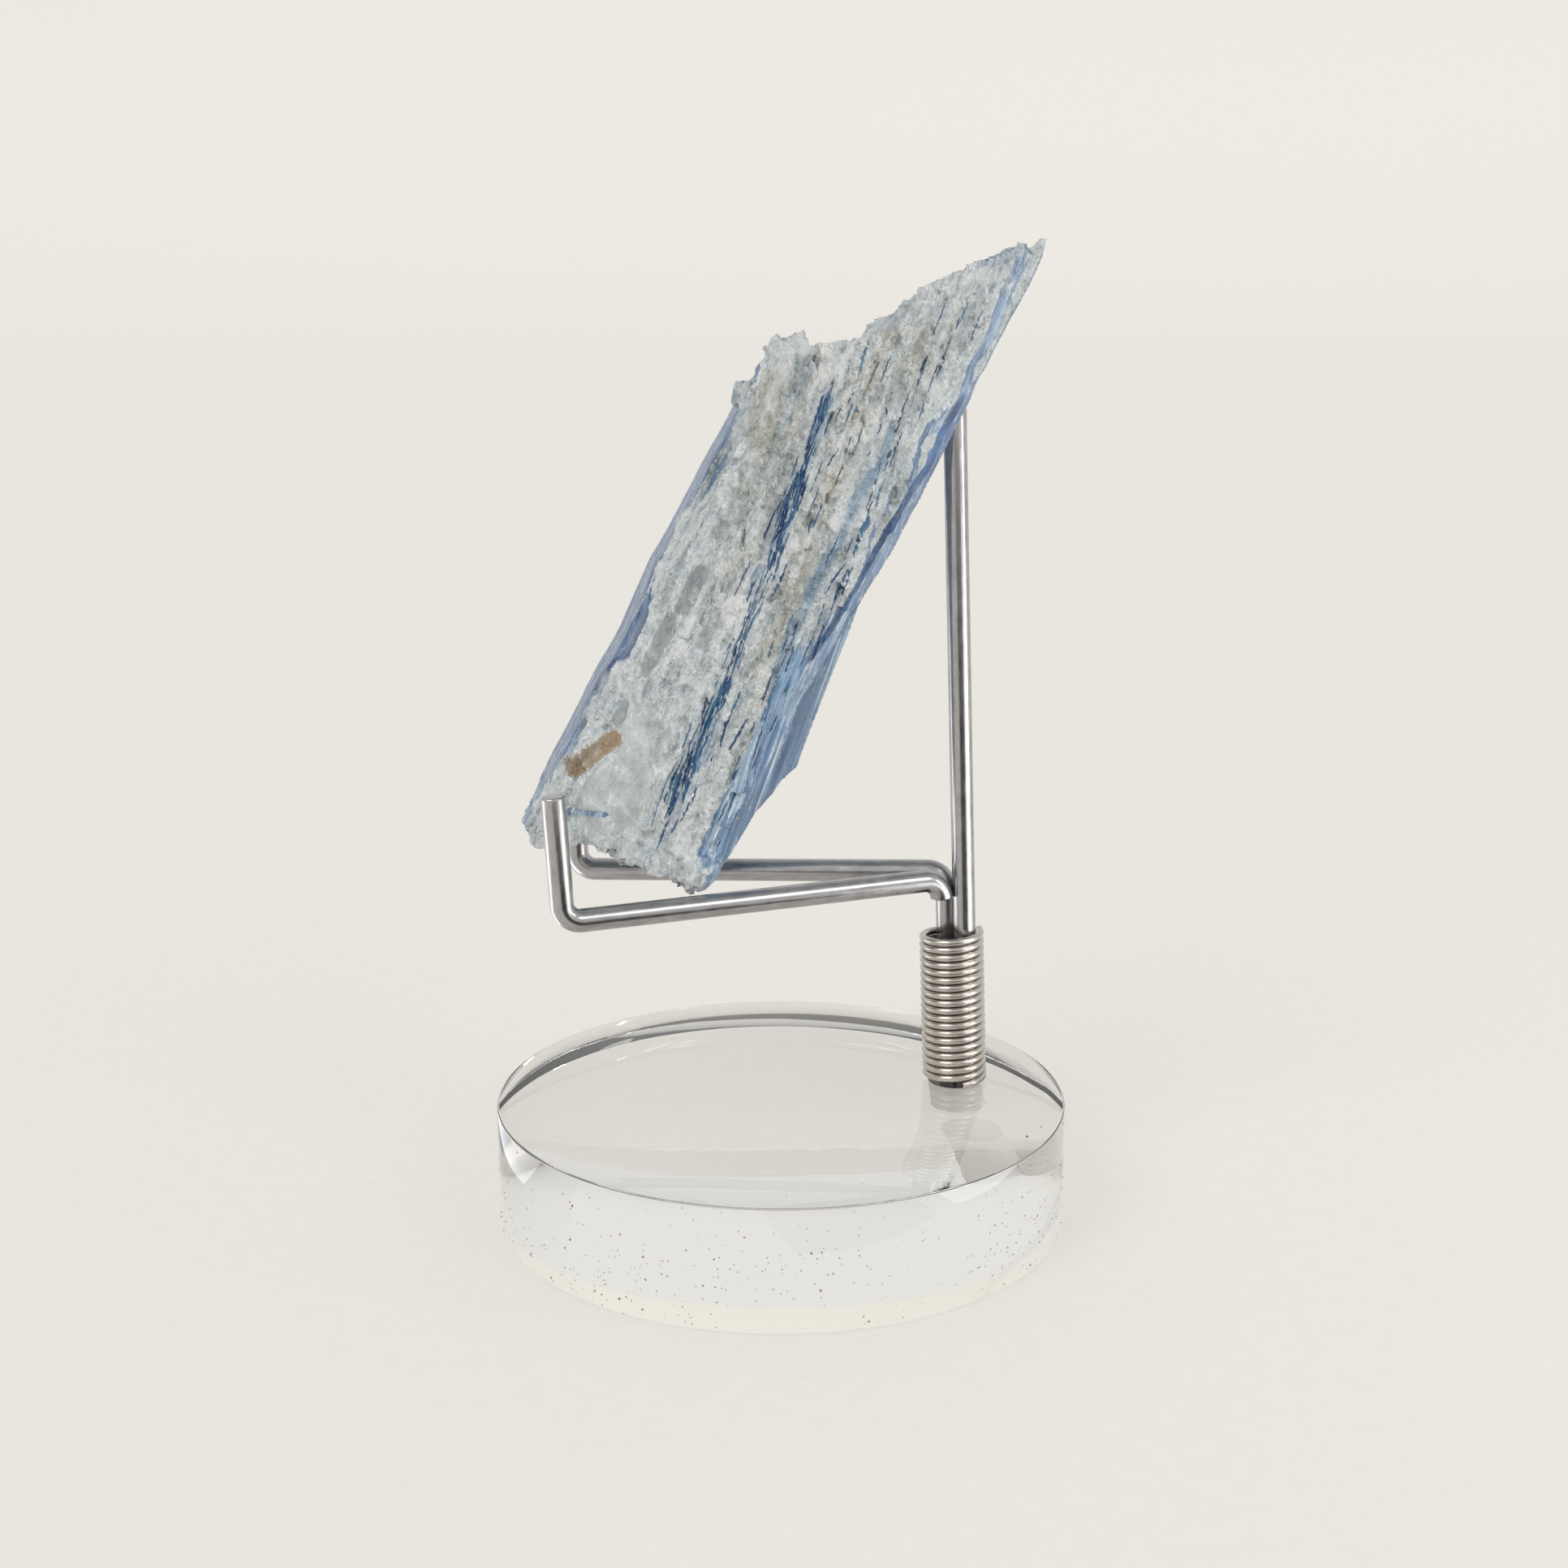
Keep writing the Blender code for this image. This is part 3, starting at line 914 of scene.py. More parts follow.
        facets = bench.cells(bench.mapped(grain, (0.7, 1, 1)), 2.4)
        lean = bench.add("ShaderNodeVectorMath", operation="SUBTRACT")
        bench.link(facets.outputs["Color"], lean.inputs[0])
        lean.inputs[1].default_value = (0.5, 0.5, 0.5)
        tilt = bench.add("ShaderNodeVectorMath", operation="DOT_PRODUCT")
        bench.link(lean.outputs["Vector"], tilt.inputs[0])
        offset = bench.add("ShaderNodeVectorMath", operation="SUBTRACT")
        scaled = bench.mapped(grain, (0.7 * 2.4, 2.4, 2.4))
        place = bench.add("ShaderNodeVectorMath", operation="SCALE")
        place.inputs["Scale"].default_value = 2.4
        bench.link(facets.outputs["Position"], place.inputs[0])
        bench.link(scaled, offset.inputs[0])
        bench.link(place.outputs["Vector"], offset.inputs[1])
        bench.link(offset.outputs["Vector"], tilt.inputs[1])
        grit = bench.clouds(grain, 5.0, 5, 0.7)
        grit = bench.plus(bench.times(tilt.outputs["Value"], 0.42), bench.times(grit, 0.24))
        comb = bench.clouds(bench.mapped(grain, (0.06, 5, 5)), 1.0, 4, 0.6)
        sleek = bench.times(comb, 0.1)
        ribbed = bench.times(bench.read(Zone.RIBBED.value), 0.8)
        calm = bench.step(bench.calc("MAXIMUM", polish, ribbed), 0.2, 0.8)
        height = bench.add("ShaderNodeMix", data_type="FLOAT")
        bench.link(calm, height.inputs["Factor"])
        bench.link(grit, height.inputs["A"])
        bench.link(sleek, height.inputs["B"])
        bench.relief(height.outputs["Result"], MM, 0.9)
        return bench.made


@dataclass(frozen=True)
class CrystalNeedle:
    """Glassy crystals that lie in the crust as thin laths."""

    axes: StoneAxes
    name: str = "navy_kyanite_needles"
    low: Colour = srgb(12, 42, 92)
    middle: Colour = srgb(20, 76, 122)
    high: Colour = srgb(62, 124, 154)

    def build(self) -> bpy.types.Material:
        """Lay the material out.

        Returns:
            The material.
        """
        bench = Bench(self.name)
        grain = self.axes.grain_coordinate(bench)
        hue = bench.clouds(bench.mapped(grain, (0.22, 1.4, 1.4)), 0.8, 4, 0.6)
        body = bench.shades(hue, ((0.36, self.low), (0.5, self.middle), (0.66, self.high)))
        bench.fix(Base_Color=body, IOR=1.65)
        lines = bench.clouds(bench.mapped(grain, (0.2, 6, 6)), 1.0, 3)
        bench.wear(hue, 0.2, 0.45)
        bench.relief(lines, 0.05 * MM)
        return bench.made


# Stand


@dataclass
class DiscBase:
    """Clear round base, drilled once for the three rods."""

    radius: float = 35.0 * MM
    height: float = 15.0 * MM
    edge: float = 0.22 * MM
    sides: int = 256
    bore_radius: float = 3.3 * MM
    bore_depth: float = 10.0 * MM
    bore_y: float = 22.37 * MM
    bore_lean: float = math.radians(2.15)
    bore_sides: int = 64

    def blank(self) -> bpy.types.Object:
        """Turn the blank: a cylinder with finely rounded rims.

        Returns:
            The blank.
        """
        drop_selection()
        bpy.ops.mesh.primitive_cylinder_add(
            vertices=self.sides, radius=self.radius, depth=self.height, location=(0, 0, self.height / 2)
        )
        blank = bpy.context.object
        settle(blank)
        bpy.ops.object.mode_set(mode="EDIT")
        select_edges(lambda edge: abs(edge.verts[0].co.z - edge.verts[1].co.z) < 1e-6)
        bpy.ops.mesh.bevel(offset=self.edge, segments=3, affect="EDGES")
        bpy.ops.object.mode_set(mode="OBJECT")
        return blank

    def drill(self, blank: bpy.types.Object) -> None:
        """Cut the leaning blind socket with its drill-point floor.

        Args:
            blank: The turned blank.
        """
        drop_selection()
        bpy.ops.mesh.primitive_cylinder_add(
            vertices=self.bore_sides, radius=self.bore_radius, depth=2 * self.bore_depth,
            location=(0, self.bore_y, self.height), rotation=(self.bore_lean, 0, 0),
        )
        bit = bpy.context.object
        bpy.ops.object.mode_set(mode="EDIT")
        select_faces(lambda face: face.normal.z < -0.9)
        bpy.ops.mesh.inset(thickness=0.8 * MM)
        bpy.ops.transform.translate(value=(0, 0, -0.25 * MM))
        bpy.ops.object.mode_set(mode="OBJECT")
        settle(bit)
        blank.data.materials.append(None)
        blank.data.materials.append(None)
        bit.data.materials.append(None)
        bit.data.materials.append(None)
        for face in bit.data.polygons:
            face.material_index = 1
        cut = blank.modifiers.new("socket", "BOOLEAN")
        cut.operation = "DIFFERENCE"
        cut.solver = "EXACT"
        cut.material_mode = "INDEX"
        cut.object = bit
        apply_modifier(blank, cut.name)
        bpy.data.objects.remove(bit, do_unlink=True)

    def build(self) -> bpy.types.Object:
        """Model and dress the base.

        Returns:
            The finished base.
        """
        base = self.blank()
        self.drill(base)
        base.name = "clear_disc"
        smooth(base, 35)
        inner = [face.material_index for face in base.data.polygons]
        dress(base, (ClearAcrylic().build(), DrilledAcrylic().build()))
        base.data.polygons.foreach_set("material_index", inner)
        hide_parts("acrylic_base_disc")
        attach(base, "root")
        return base


@dataclass
class DustOnDisc:
    """Grit and dust that has settled on the base's wall and rim."""

    disc: DiscBase
    count: int = 420
    seed: int = 41
    front: float = math.radians(-12.1)
    # Single crumbs on the top: place and size in millimetres.
    loose: tuple[tuple[float, float, float], ...] = (
        (20.2, 25.4, 0.62), (17.6, 28.0, 0.4), (29.4, 3.0, 0.22), (31.0, -6.0, 0.2), (12.0, -20.0, 0.18),
    )
    # Where the dust is thickest: angle from the front, height share, spread.
    patches: tuple[tuple[float, float, float], ...] = (
        (-38.0, 0.25, 9.0), (-22.0, 0.45, 9.0), (-5.0, 0.5, 12.0), (14.0, 0.55, 10.0),
        (48.0, 0.3, 9.0), (58.0, 0.5, 7.0), (-60.0, 0.2, 10.0),
    )

    def crumb(self) -> bpy.types.Object:
        """One angular crumb.

        Returns:
            The crumb, a millimetre across, at the origin.
        """
        drop_selection()
        bpy.ops.mesh.primitive_ico_sphere_add(subdivisions=1, radius=0.5 * MM)
        crumb = bpy.context.object
        bpy.ops.object.mode_set(mode="EDIT")
        bpy.ops.mesh.select_all(action="SELECT")
        bpy.ops.transform.resize(value=(1.0, 0.7, 0.5))
        select_faces(lambda face: face.normal.x > 0.75)
        bpy.ops.transform.translate(value=(-0.18 * MM, 0.05 * MM, 0.06 * MM))
        bpy.ops.object.mode_set(mode="OBJECT")
        return crumb

    def places(self) -> list[tuple[Vector, float]]:
        """Places and sizes of the crumbs.

        Returns:
            Centre of each crumb and its size in metres.
        """
        dice = random.Random(self.seed)
        found = []
        for number in range(self.count):
            if number % 5 == 0:
                angle, share = dice.uniform(-180, 180), dice.random() ** 2
            else:
                middle, level, spread = dice.choice(self.patches)
                angle, share = dice.gauss(middle, spread), min(abs(dice.gauss(level, 0.22)), 0.97)
            turn = self.front + math.radians(angle)
            size = dice.uniform(0.13, 0.3) * MM * (1.6 if dice.random() < 0.06 else 1.0)
            height = self.disc.edge + share * (self.disc.height - 2 * self.disc.edge)
            reach = self.disc.radius + size * 0.08
            found.append((Vector((reach * math.cos(turn), reach * math.sin(turn), height)), size))
        for x, y, size in self.loose:
            found.append((Vector((x * MM, y * MM, self.disc.height + 0.05 * MM)), size * MM))
        return found

    def build(self) -> bpy.types.Object:
        """Model and dress the dust.

        Returns:
            The dust as one piece.
        """
        first = self.crumb()
        dice = random.Random(self.seed + 1)
        crumbs = []
        for centre, size in self.places():
            copy = bpy.data.objects.new("crumb", first.data.copy())
            bpy.context.scene.collection.objects.link(copy)
            outward = Vector((centre.x, centre.y, 0)).normalized()
            if centre.z > self.disc.height:
                outward = Vector((0, 0, 1))
            turn = outward.to_track_quat("Z", "Y").to_matrix().to_4x4()
            roll = Matrix.Rotation(dice.uniform(0, 2 * math.pi), 4, "Z")
            copy.data.transform(Matrix.Translation(centre) @ turn @ roll @ Matrix.Scale(size / MM, 4))
            crumbs.append(copy)
        bpy.data.objects.remove(first, do_unlink=True)
        dust = joined(crumbs, "disc_dust")
        dress(dust, (SettledDust().build(),))
        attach(dust, "root")
        return dust


@dataclass
class RodBundle:
    """The three rods in the socket and where each stands."""

    disc: DiscBase
    diameter: float = 2.8 * MM
    spacing: float = 2.85 * MM
    lean: float = math.radians(2.15)
    turn: float = math.radians(60.9)
    foot_gap: float = 0.3 * MM

    def axis_at(self, height: float) -> Vector:
        """Middle of the bundle at a height above the ground."""
        return Vector((0, self.disc.bore_y - math.tan(self.lean) * (height - self.disc.height), height))

    def centre(self, index: int, height: float) -> Vector:
        """Centre of one rod at a height.

        Args:
            index: 0 is the post, 1 the near arm and 2 the far arm.
            height: Height above the ground.

        Returns:
            The centre.
        """
        angle = self.turn - index * math.radians(120)
        reach = self.spacing / math.sqrt(3)
        return self.axis_at(height) + Vector((reach * math.cos(angle), reach * math.sin(angle), 0))

    def foot(self, index: int) -> Vector:
        """Lower end of a rod, just above the socket's floor."""
        return self.centre(index, self.disc.height - self.disc.bore_depth + self.foot_gap)


@dataclass
class RoundWire:
    """A round wire run along straight legs joined by true bends."""

    name: str
    corners: list[Vector]
    radii: list[float]
    diameter: float
    finish: DrawnSteel
    node: str
    sides: int = 40
    bend_steps: int = 18
    tip_edge: float = 0.28 * MM
    path: list[Vector] = field(default_factory=list)

    def start_ring(self) -> bpy.types.Object:
        """Open ring at the first corner, square to the first leg.

        Returns:
            The ring, in edit mode with everything selected.
        """
        drop_selection()
        facing = (self.corners[1] - self.corners[0]).to_track_quat("Z", "Y").to_euler()
        bpy.ops.mesh.primitive_circle_add(
            vertices=self.sides, radius=self.diameter / 2, fill_type="NOTHING",
            location=self.corners[0], rotation=facing,
        )
        wire = bpy.context.object
        settle(wire)
        bpy.ops.object.mode_set(mode="EDIT")
        bpy.ops.mesh.select_all(action="SELECT")
        self.path.append(self.corners[0].copy())
        return wire

    def run(self, end: Vector) -> None:
        """Extrude the ring straight to a point, in even steps.

        Args:
            end: Where the leg ends.
        """
        start = self.path[-1]
        steps = max(1, round((end - start).length / (4 * MM)))
        for _ in range(steps):
            bpy.ops.mesh.extrude_region_move(TRANSFORM_OT_translate={"value": (end - start) / steps})
        self.path.append(end.copy())

    def turn_corner(self, number: int) -> None:
        """Run to a corner's arc and spin the ring round it.

        Args:
            number: Index of the corner.
        """
        corner, radius = self.corners[number], self.radii[number - 1]
        into = (corner - self.corners[number - 1]).normalized()
        away = (self.corners[number + 1] - corner).normalized()
        angle = into.angle(away)
        setback = radius * math.tan(angle / 2)
        axis = into.cross(away).normalized()
        begin = corner - into * setback
        self.run(begin)
        centre = begin + axis.cross(into) * radius
        bpy.ops.mesh.spin(steps=self.bend_steps, dupli=False, angle=-angle, center=centre, axis=axis)
        for step in range(1, self.bend_steps + 1):
            arm = Matrix.Rotation(angle * step / self.bend_steps, 3, axis) @ (begin - centre)
            self.path.append(centre + arm)

    def close_ends(self) -> None:
        """Fill both ends and break their sharp edges."""
        bpy.ops.mesh.select_all(action="SELECT")
        bpy.ops.mesh.remove_doubles(threshold=0.001 * MM)
        bpy.ops.mesh.fill_holes(sides=self.sides)
        bpy.ops.mesh.select_all(action="SELECT")
        bpy.ops.mesh.normals_make_consistent(inside=False)
        select_edges(lambda edge: any(len(face.verts) > 4 for face in edge.link_faces))
        bpy.ops.mesh.bevel(offset=self.tip_edge, segments=4, affect="EDGES")
        bpy.ops.object.mode_set(mode="OBJECT")

    def lay_grain(self, wire: bpy.types.Object) -> None:
        """Store the direction round and along the wire for its die lines.

        Args:
            wire: The finished wire.
        """
        places = ring_of(wire)
        path = np.array([tuple(point) for point in self.path])
        legs = np.diff(path, axis=0)
        lengths = np.linalg.norm(legs, axis=1)
        starts = np.concatenate(([0.0], np.cumsum(lengths)[:-1]))
        best = np.full(len(places), np.inf)
        way = np.zeros((len(places), 3))
        side = np.cross(legs[0], (0.0, 0.0, 1.0))
        if np.linalg.norm(side) < 1e-9:
            side = np.array((1.0, 0.0, 0.0))
        for first, leg, length, start in zip(path[:-1], legs, lengths, starts):
            unit = leg / length
            side = side - unit * (side @ unit)
            side /= np.linalg.norm(side)
            other = np.cross(unit, side)
            rest = places - first
            reach = np.clip(rest @ unit, 0, length)
            spoke = rest - reach[:, None] * unit
            gap = np.linalg.norm(spoke, axis=1)
            near = gap < best
            best[near] = gap[near]
            away = spoke / np.maximum(gap, 1e-9)[:, None]
            found = np.column_stack((away @ side, away @ other, (start + reach) / MM))
            way[near] = found[near]
        write_vectors(wire, "wire_way", way)

    def build(self) -> bpy.types.Object:
        """Model and dress the wire.

        Returns:
            The finished wire.
        """
        wire = self.start_ring()
        for number in range(1, len(self.corners) - 1):
            self.turn_corner(number)
        self.run(self.corners[-1])
        self.close_ends()
        wire.name = self.name
        wire.data.name = self.name
        self.lay_grain(wire)
        smooth(wire, 40)
        dress(wire, (self.finish.build(),))
        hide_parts(self.node)
        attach(wire, "root")
        return wire


@dataclass
class WireEasel:
    """Two hooked arms and the back post, all standing in one bundle."""

    bundle: RodBundle
    near_bend: float = 41.6 * MM
    far_bend: float = 41.9 * MM
    hook_height: float = 41.0 * MM
    near_hook: tuple[float, float] = (7.4 * MM, -27.4 * MM)
    far_hook: tuple[float, float] = (-15.3 * MM, -22.8 * MM)
    hook_rise: float = 15.2 * MM
    hook_lean: float = math.radians(3.4)
    bend_radius: float = 2.5 * MM
    hook_radius: float = 2.3 * MM
    post_top: float = 99.6 * MM

    def arm(
        self, index: int, bend_height: float, hook_place: tuple[float, float], name: str, node: str,
    ) -> bpy.types.Object:
        """One hooked arm.

        Args:
            index: Which rod of the bundle it is.
            bend_height: Height of the corner over the collar.
            hook_place: Plan place of the hook's corner.
            name: Name of the piece.
            node: Solid that it stands for.

        Returns:
            The arm.
        """
        bend = self.bundle.centre(index, bend_height)
        hook = Vector((*hook_place, self.hook_height))
        outward = Vector((hook.x - bend.x, hook.y - bend.y, 0)).normalized()
        rise = outward * math.sin(self.hook_lean) + Vector((0, 0, math.cos(self.hook_lean)))
        corners = [self.bundle.foot(index), bend, hook, hook + rise * self.hook_rise]
        finish = DrawnSteel(name + "_steel")
        radii = [self.bend_radius, self.hook_radius]
        return RoundWire(name, corners, radii, self.bundle.diameter, finish, node).build()

    def post(self) -> bpy.types.Object:
        """The straight rod that the stone leans on."""
        corners = [self.bundle.foot(0), self.bundle.centre(0, self.post_top)]
        finish = DrawnSteel("leaning_post_steel")
        return RoundWire("leaning_post", corners, [], self.bundle.diameter, finish, "back_post").build()

    def build(self) -> list[bpy.types.Object]:
        """Model the three rods.

        Returns:
            The near arm, the far arm and the post.
        """
        return [
            self.arm(1, self.near_bend, self.near_hook, "near_hooked_arm", "near_arm_wire"),
            self.arm(2, self.far_bend, self.far_hook, "far_hooked_arm", "far_arm_wire"),
            self.post(),
        ]


@dataclass
class WoundCollar:
    """Close-wound wire that holds the rods together."""

    bundle: RodBundle
    wire: float = 0.93 * MM
    pitch: float = 0.985 * MM
    turns: float = 19.25
    clearance: float = 0.04 * MM
    sides: int = 14
    steps: int = 56

    @property
    def radius(self) -> float:
        """Radius of the wire's centre line."""
        return self.bundle.spacing / math.sqrt(3) + self.bundle.diameter / 2 + self.clearance + self.wire / 2

    def coil(self) -> bpy.types.Object:
        """Wind the coil about the vertical axis and close its cut ends.

        Returns:
            The coil, its foot at the origin.
        """
        drop_selection()
        bpy.ops.mesh.primitive_circle_add(
            vertices=self.sides, radius=self.wire / 2, fill_type="NOTHING",
            location=(self.radius, 0, 0), rotation=(math.pi / 2, 0, 0),
        )
        coil = bpy.context.object
        settle(coil)
        winding = coil.modifiers.new("winding", "SCREW")
        winding.axis = "Z"
        winding.angle = 2 * math.pi * self.turns
        winding.screw_offset = self.pitch * self.turns
        winding.iterations = 1
        winding.steps = winding.render_steps = round(self.steps * self.turns)
        apply_modifier(coil, winding.name)
        bpy.ops.object.mode_set(mode="EDIT")
        bpy.ops.mesh.select_all(action="SELECT")
        bpy.ops.mesh.fill_holes(sides=self.sides)
        bpy.ops.mesh.select_all(action="SELECT")
        bpy.ops.mesh.normals_make_consistent(inside=False)
        bpy.ops.object.mode_set(mode="OBJECT")
        return coil

    def lay_grain(self, coil: bpy.types.Object) -> None:
        """Store the direction round and along the wound wire.

        Args:
            coil: The coil, still upright at the origin.
        """
        places = ring_of(coil)
        turn = np.arctan2(places[:, 1], places[:, 0]) / (2 * math.pi)
        turns = turn + np.round(places[:, 2] / self.pitch - turn)
        rise = (places[:, 2] - turns * self.pitch) / (self.wire / 2)
        out = (np.hypot(places[:, 0], places[:, 1]) - self.radius) / (self.wire / 2)
        along = turns * 2 * math.pi * self.radius / MM
        write_vectors(coil, "wire_way", np.column_stack((out, rise, along)))

    def build(self) -> bpy.types.Object:
        """Model and dress the collar.

        Returns:
            The finished collar.
        """
        coil = self.coil()
        self.lay_grain(coil)
        foot = self.bundle.axis_at(self.bundle.disc.height + self.wire / 2 + self.clearance)
        coil.rotation_euler.x = self.bundle.lean
        coil.location = foot
        settle(coil)
        coil.name = coil.data.name = "wound_collar"
        smooth(coil, 40)
        steel = DrawnSteel("collar_wire_steel", srgb(176, 170, 162), srgb(216, 211, 204), 0.18)
        dress(coil, (steel.build(),))
        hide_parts("wound_wire_collar")
        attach(coil, "root")
        return coil


# Stone


@dataclass(frozen=True)
class Needle:
    """A dark needle: its line on the near face and its width, in millimetres."""

    line: tuple[tuple[float, float], ...]
    width: float


@dataclass(frozen=True)
class Mark:
    """A small patch of one zone along a line on the stone, in millimetres."""

    zone: Zone
    start: tuple[float, float]
    end: tuple[float, float]
    reach: float
    strength: float = 1.0
    deep: tuple[float, float] = (2.0, 12.0)

    def share(self, stone: np.ndarray) -> np.ndarray:
        """Share of the patch at every vertex.

        Args:
            stone: Places on the stone's axes.

        Returns:
            Values from 0 to the mark's strength.
        """
        start, line = np.array(self.start), np.array(self.end) - np.array(self.start)
        rest = stone[:, :2] - start
        along = np.clip(rest @ line / max(line @ line, 1e-9), 0, 1)
        gap = np.linalg.norm(rest - along[:, None] * line, axis=1)
        inside = (stone[:, 2] > self.deep[0]) & (stone[:, 2] < self.deep[1])
        return self.strength * inside * ramp01(gap, self.reach * 1.4, self.reach * 0.5)


@dataclass
class StoneRelief:
    """Broken, granular and ribbed relief of the stone's surface."""

    axes: StoneAxes
    coarse: float = 0.62
    fine: float = 1.4

    @staticmethod
    def sampled(places: np.ndarray, rule: Callable[[Vector], float]) -> np.ndarray:
        """Value of a rule at every place.

        Args:
            places: Rows of coordinates.
            rule: Function of one place.

        Returns:
            One value for each place.
        """
        return np.fromiter((rule(Vector(place)) for place in places), float, len(places))

    @staticmethod
    def facet(place: Vector) -> float:
        """Height of the randomly tilted crystal facet at a place.

        Args:
            place: Where to read it.

        Returns:
            The height, about -1 to 1.
        """
        near = noise.voronoi(place)[1][0]
        tilt = noise.cell_vector(near * 53.7) * 2 - Vector((1, 1, 1))
        return 0.6 * tilt.z + 0.8 * tilt.dot(place - near)

    @staticmethod
    def scallop(place: Vector) -> float:
        """Smooth shell-like hollows that meet in low ridges."""
        return 0.6 - abs(noise.noise(place)) * 1.6 - 0.5 * abs(noise.noise(place * 1.9 + Vector((3, 1, 7))))

    def height(self, stone: np.ndarray, normal: np.ndarray, zones: dict[Zone, np.ndarray]) -> np.ndarray:
        """How far each vertex moves out along its normal.

        Args:
            stone: Places on the stone's axes.
            normal: Normals on the stone's axes.
            zones: The zone shares.

        Returns:
            Distances in millimetres.
        """
        grain = self.axes.along_grain(stone)
        lumps = self.sampled(grain * (0.2, 0.3, 0.3), noise.noise)
        coarse = self.sampled(grain * (0.6 * self.coarse, self.coarse, self.coarse), self.facet)
        fine = self.sampled(grain * (0.65 * self.fine, self.fine, self.fine) + 9.0, self.facet)
        shells = self.sampled(grain * (0.2, 0.26, 0.2) + 4.0, self.scallop)
        ribs = self.sampled(grain * (0.05, 1.05, 1.05), noise.noise)
        comb = self.sampled(grain * (0.08, 2.6, 2.6) + 2.0, noise.noise)
        splints = self.sampled(grain * (0.05, 0.85, 0.85) + 6.0, noise.cell)
        rows = self.sampled(grain * (0.07, 0.42, 0.42) + 11.0, noise.noise)
        crust = 0.24 * lumps + 0.32 * coarse + 0.19 * fine + 0.3 * ribs + 0.1 * comb + 0.62 * rows
        quartz = 0.75 * shells + 0.05 * lumps
        ribbed = 0.34 * ribs + 0.17 * comb + 0.05 * fine
        sleek = 0.09 * ribs + 0.05 * comb
        broken = 0.6 * (splints - 0.5) + 0.3 * ribs + 0.3 * coarse + 0.14 * fine
        height = crust
        for share, form in (
            (zones[Zone.QUARTZ], quartz), (zones[Zone.SMOKY], 0.5 * quartz - 0.25),
            (zones[Zone.RIBBED], ribbed), (zones[Zone.CLEAVAGE], sleek),
            (ramp01(np.abs(normal[:, 0]), 0.45, 0.8), broken),
        ):
            height = height * (1 - share) + form * share
        return height * (1 - 0.6 * zones[Zone.STREAK]) + 0.14 * zones[Zone.STREAK] * comb


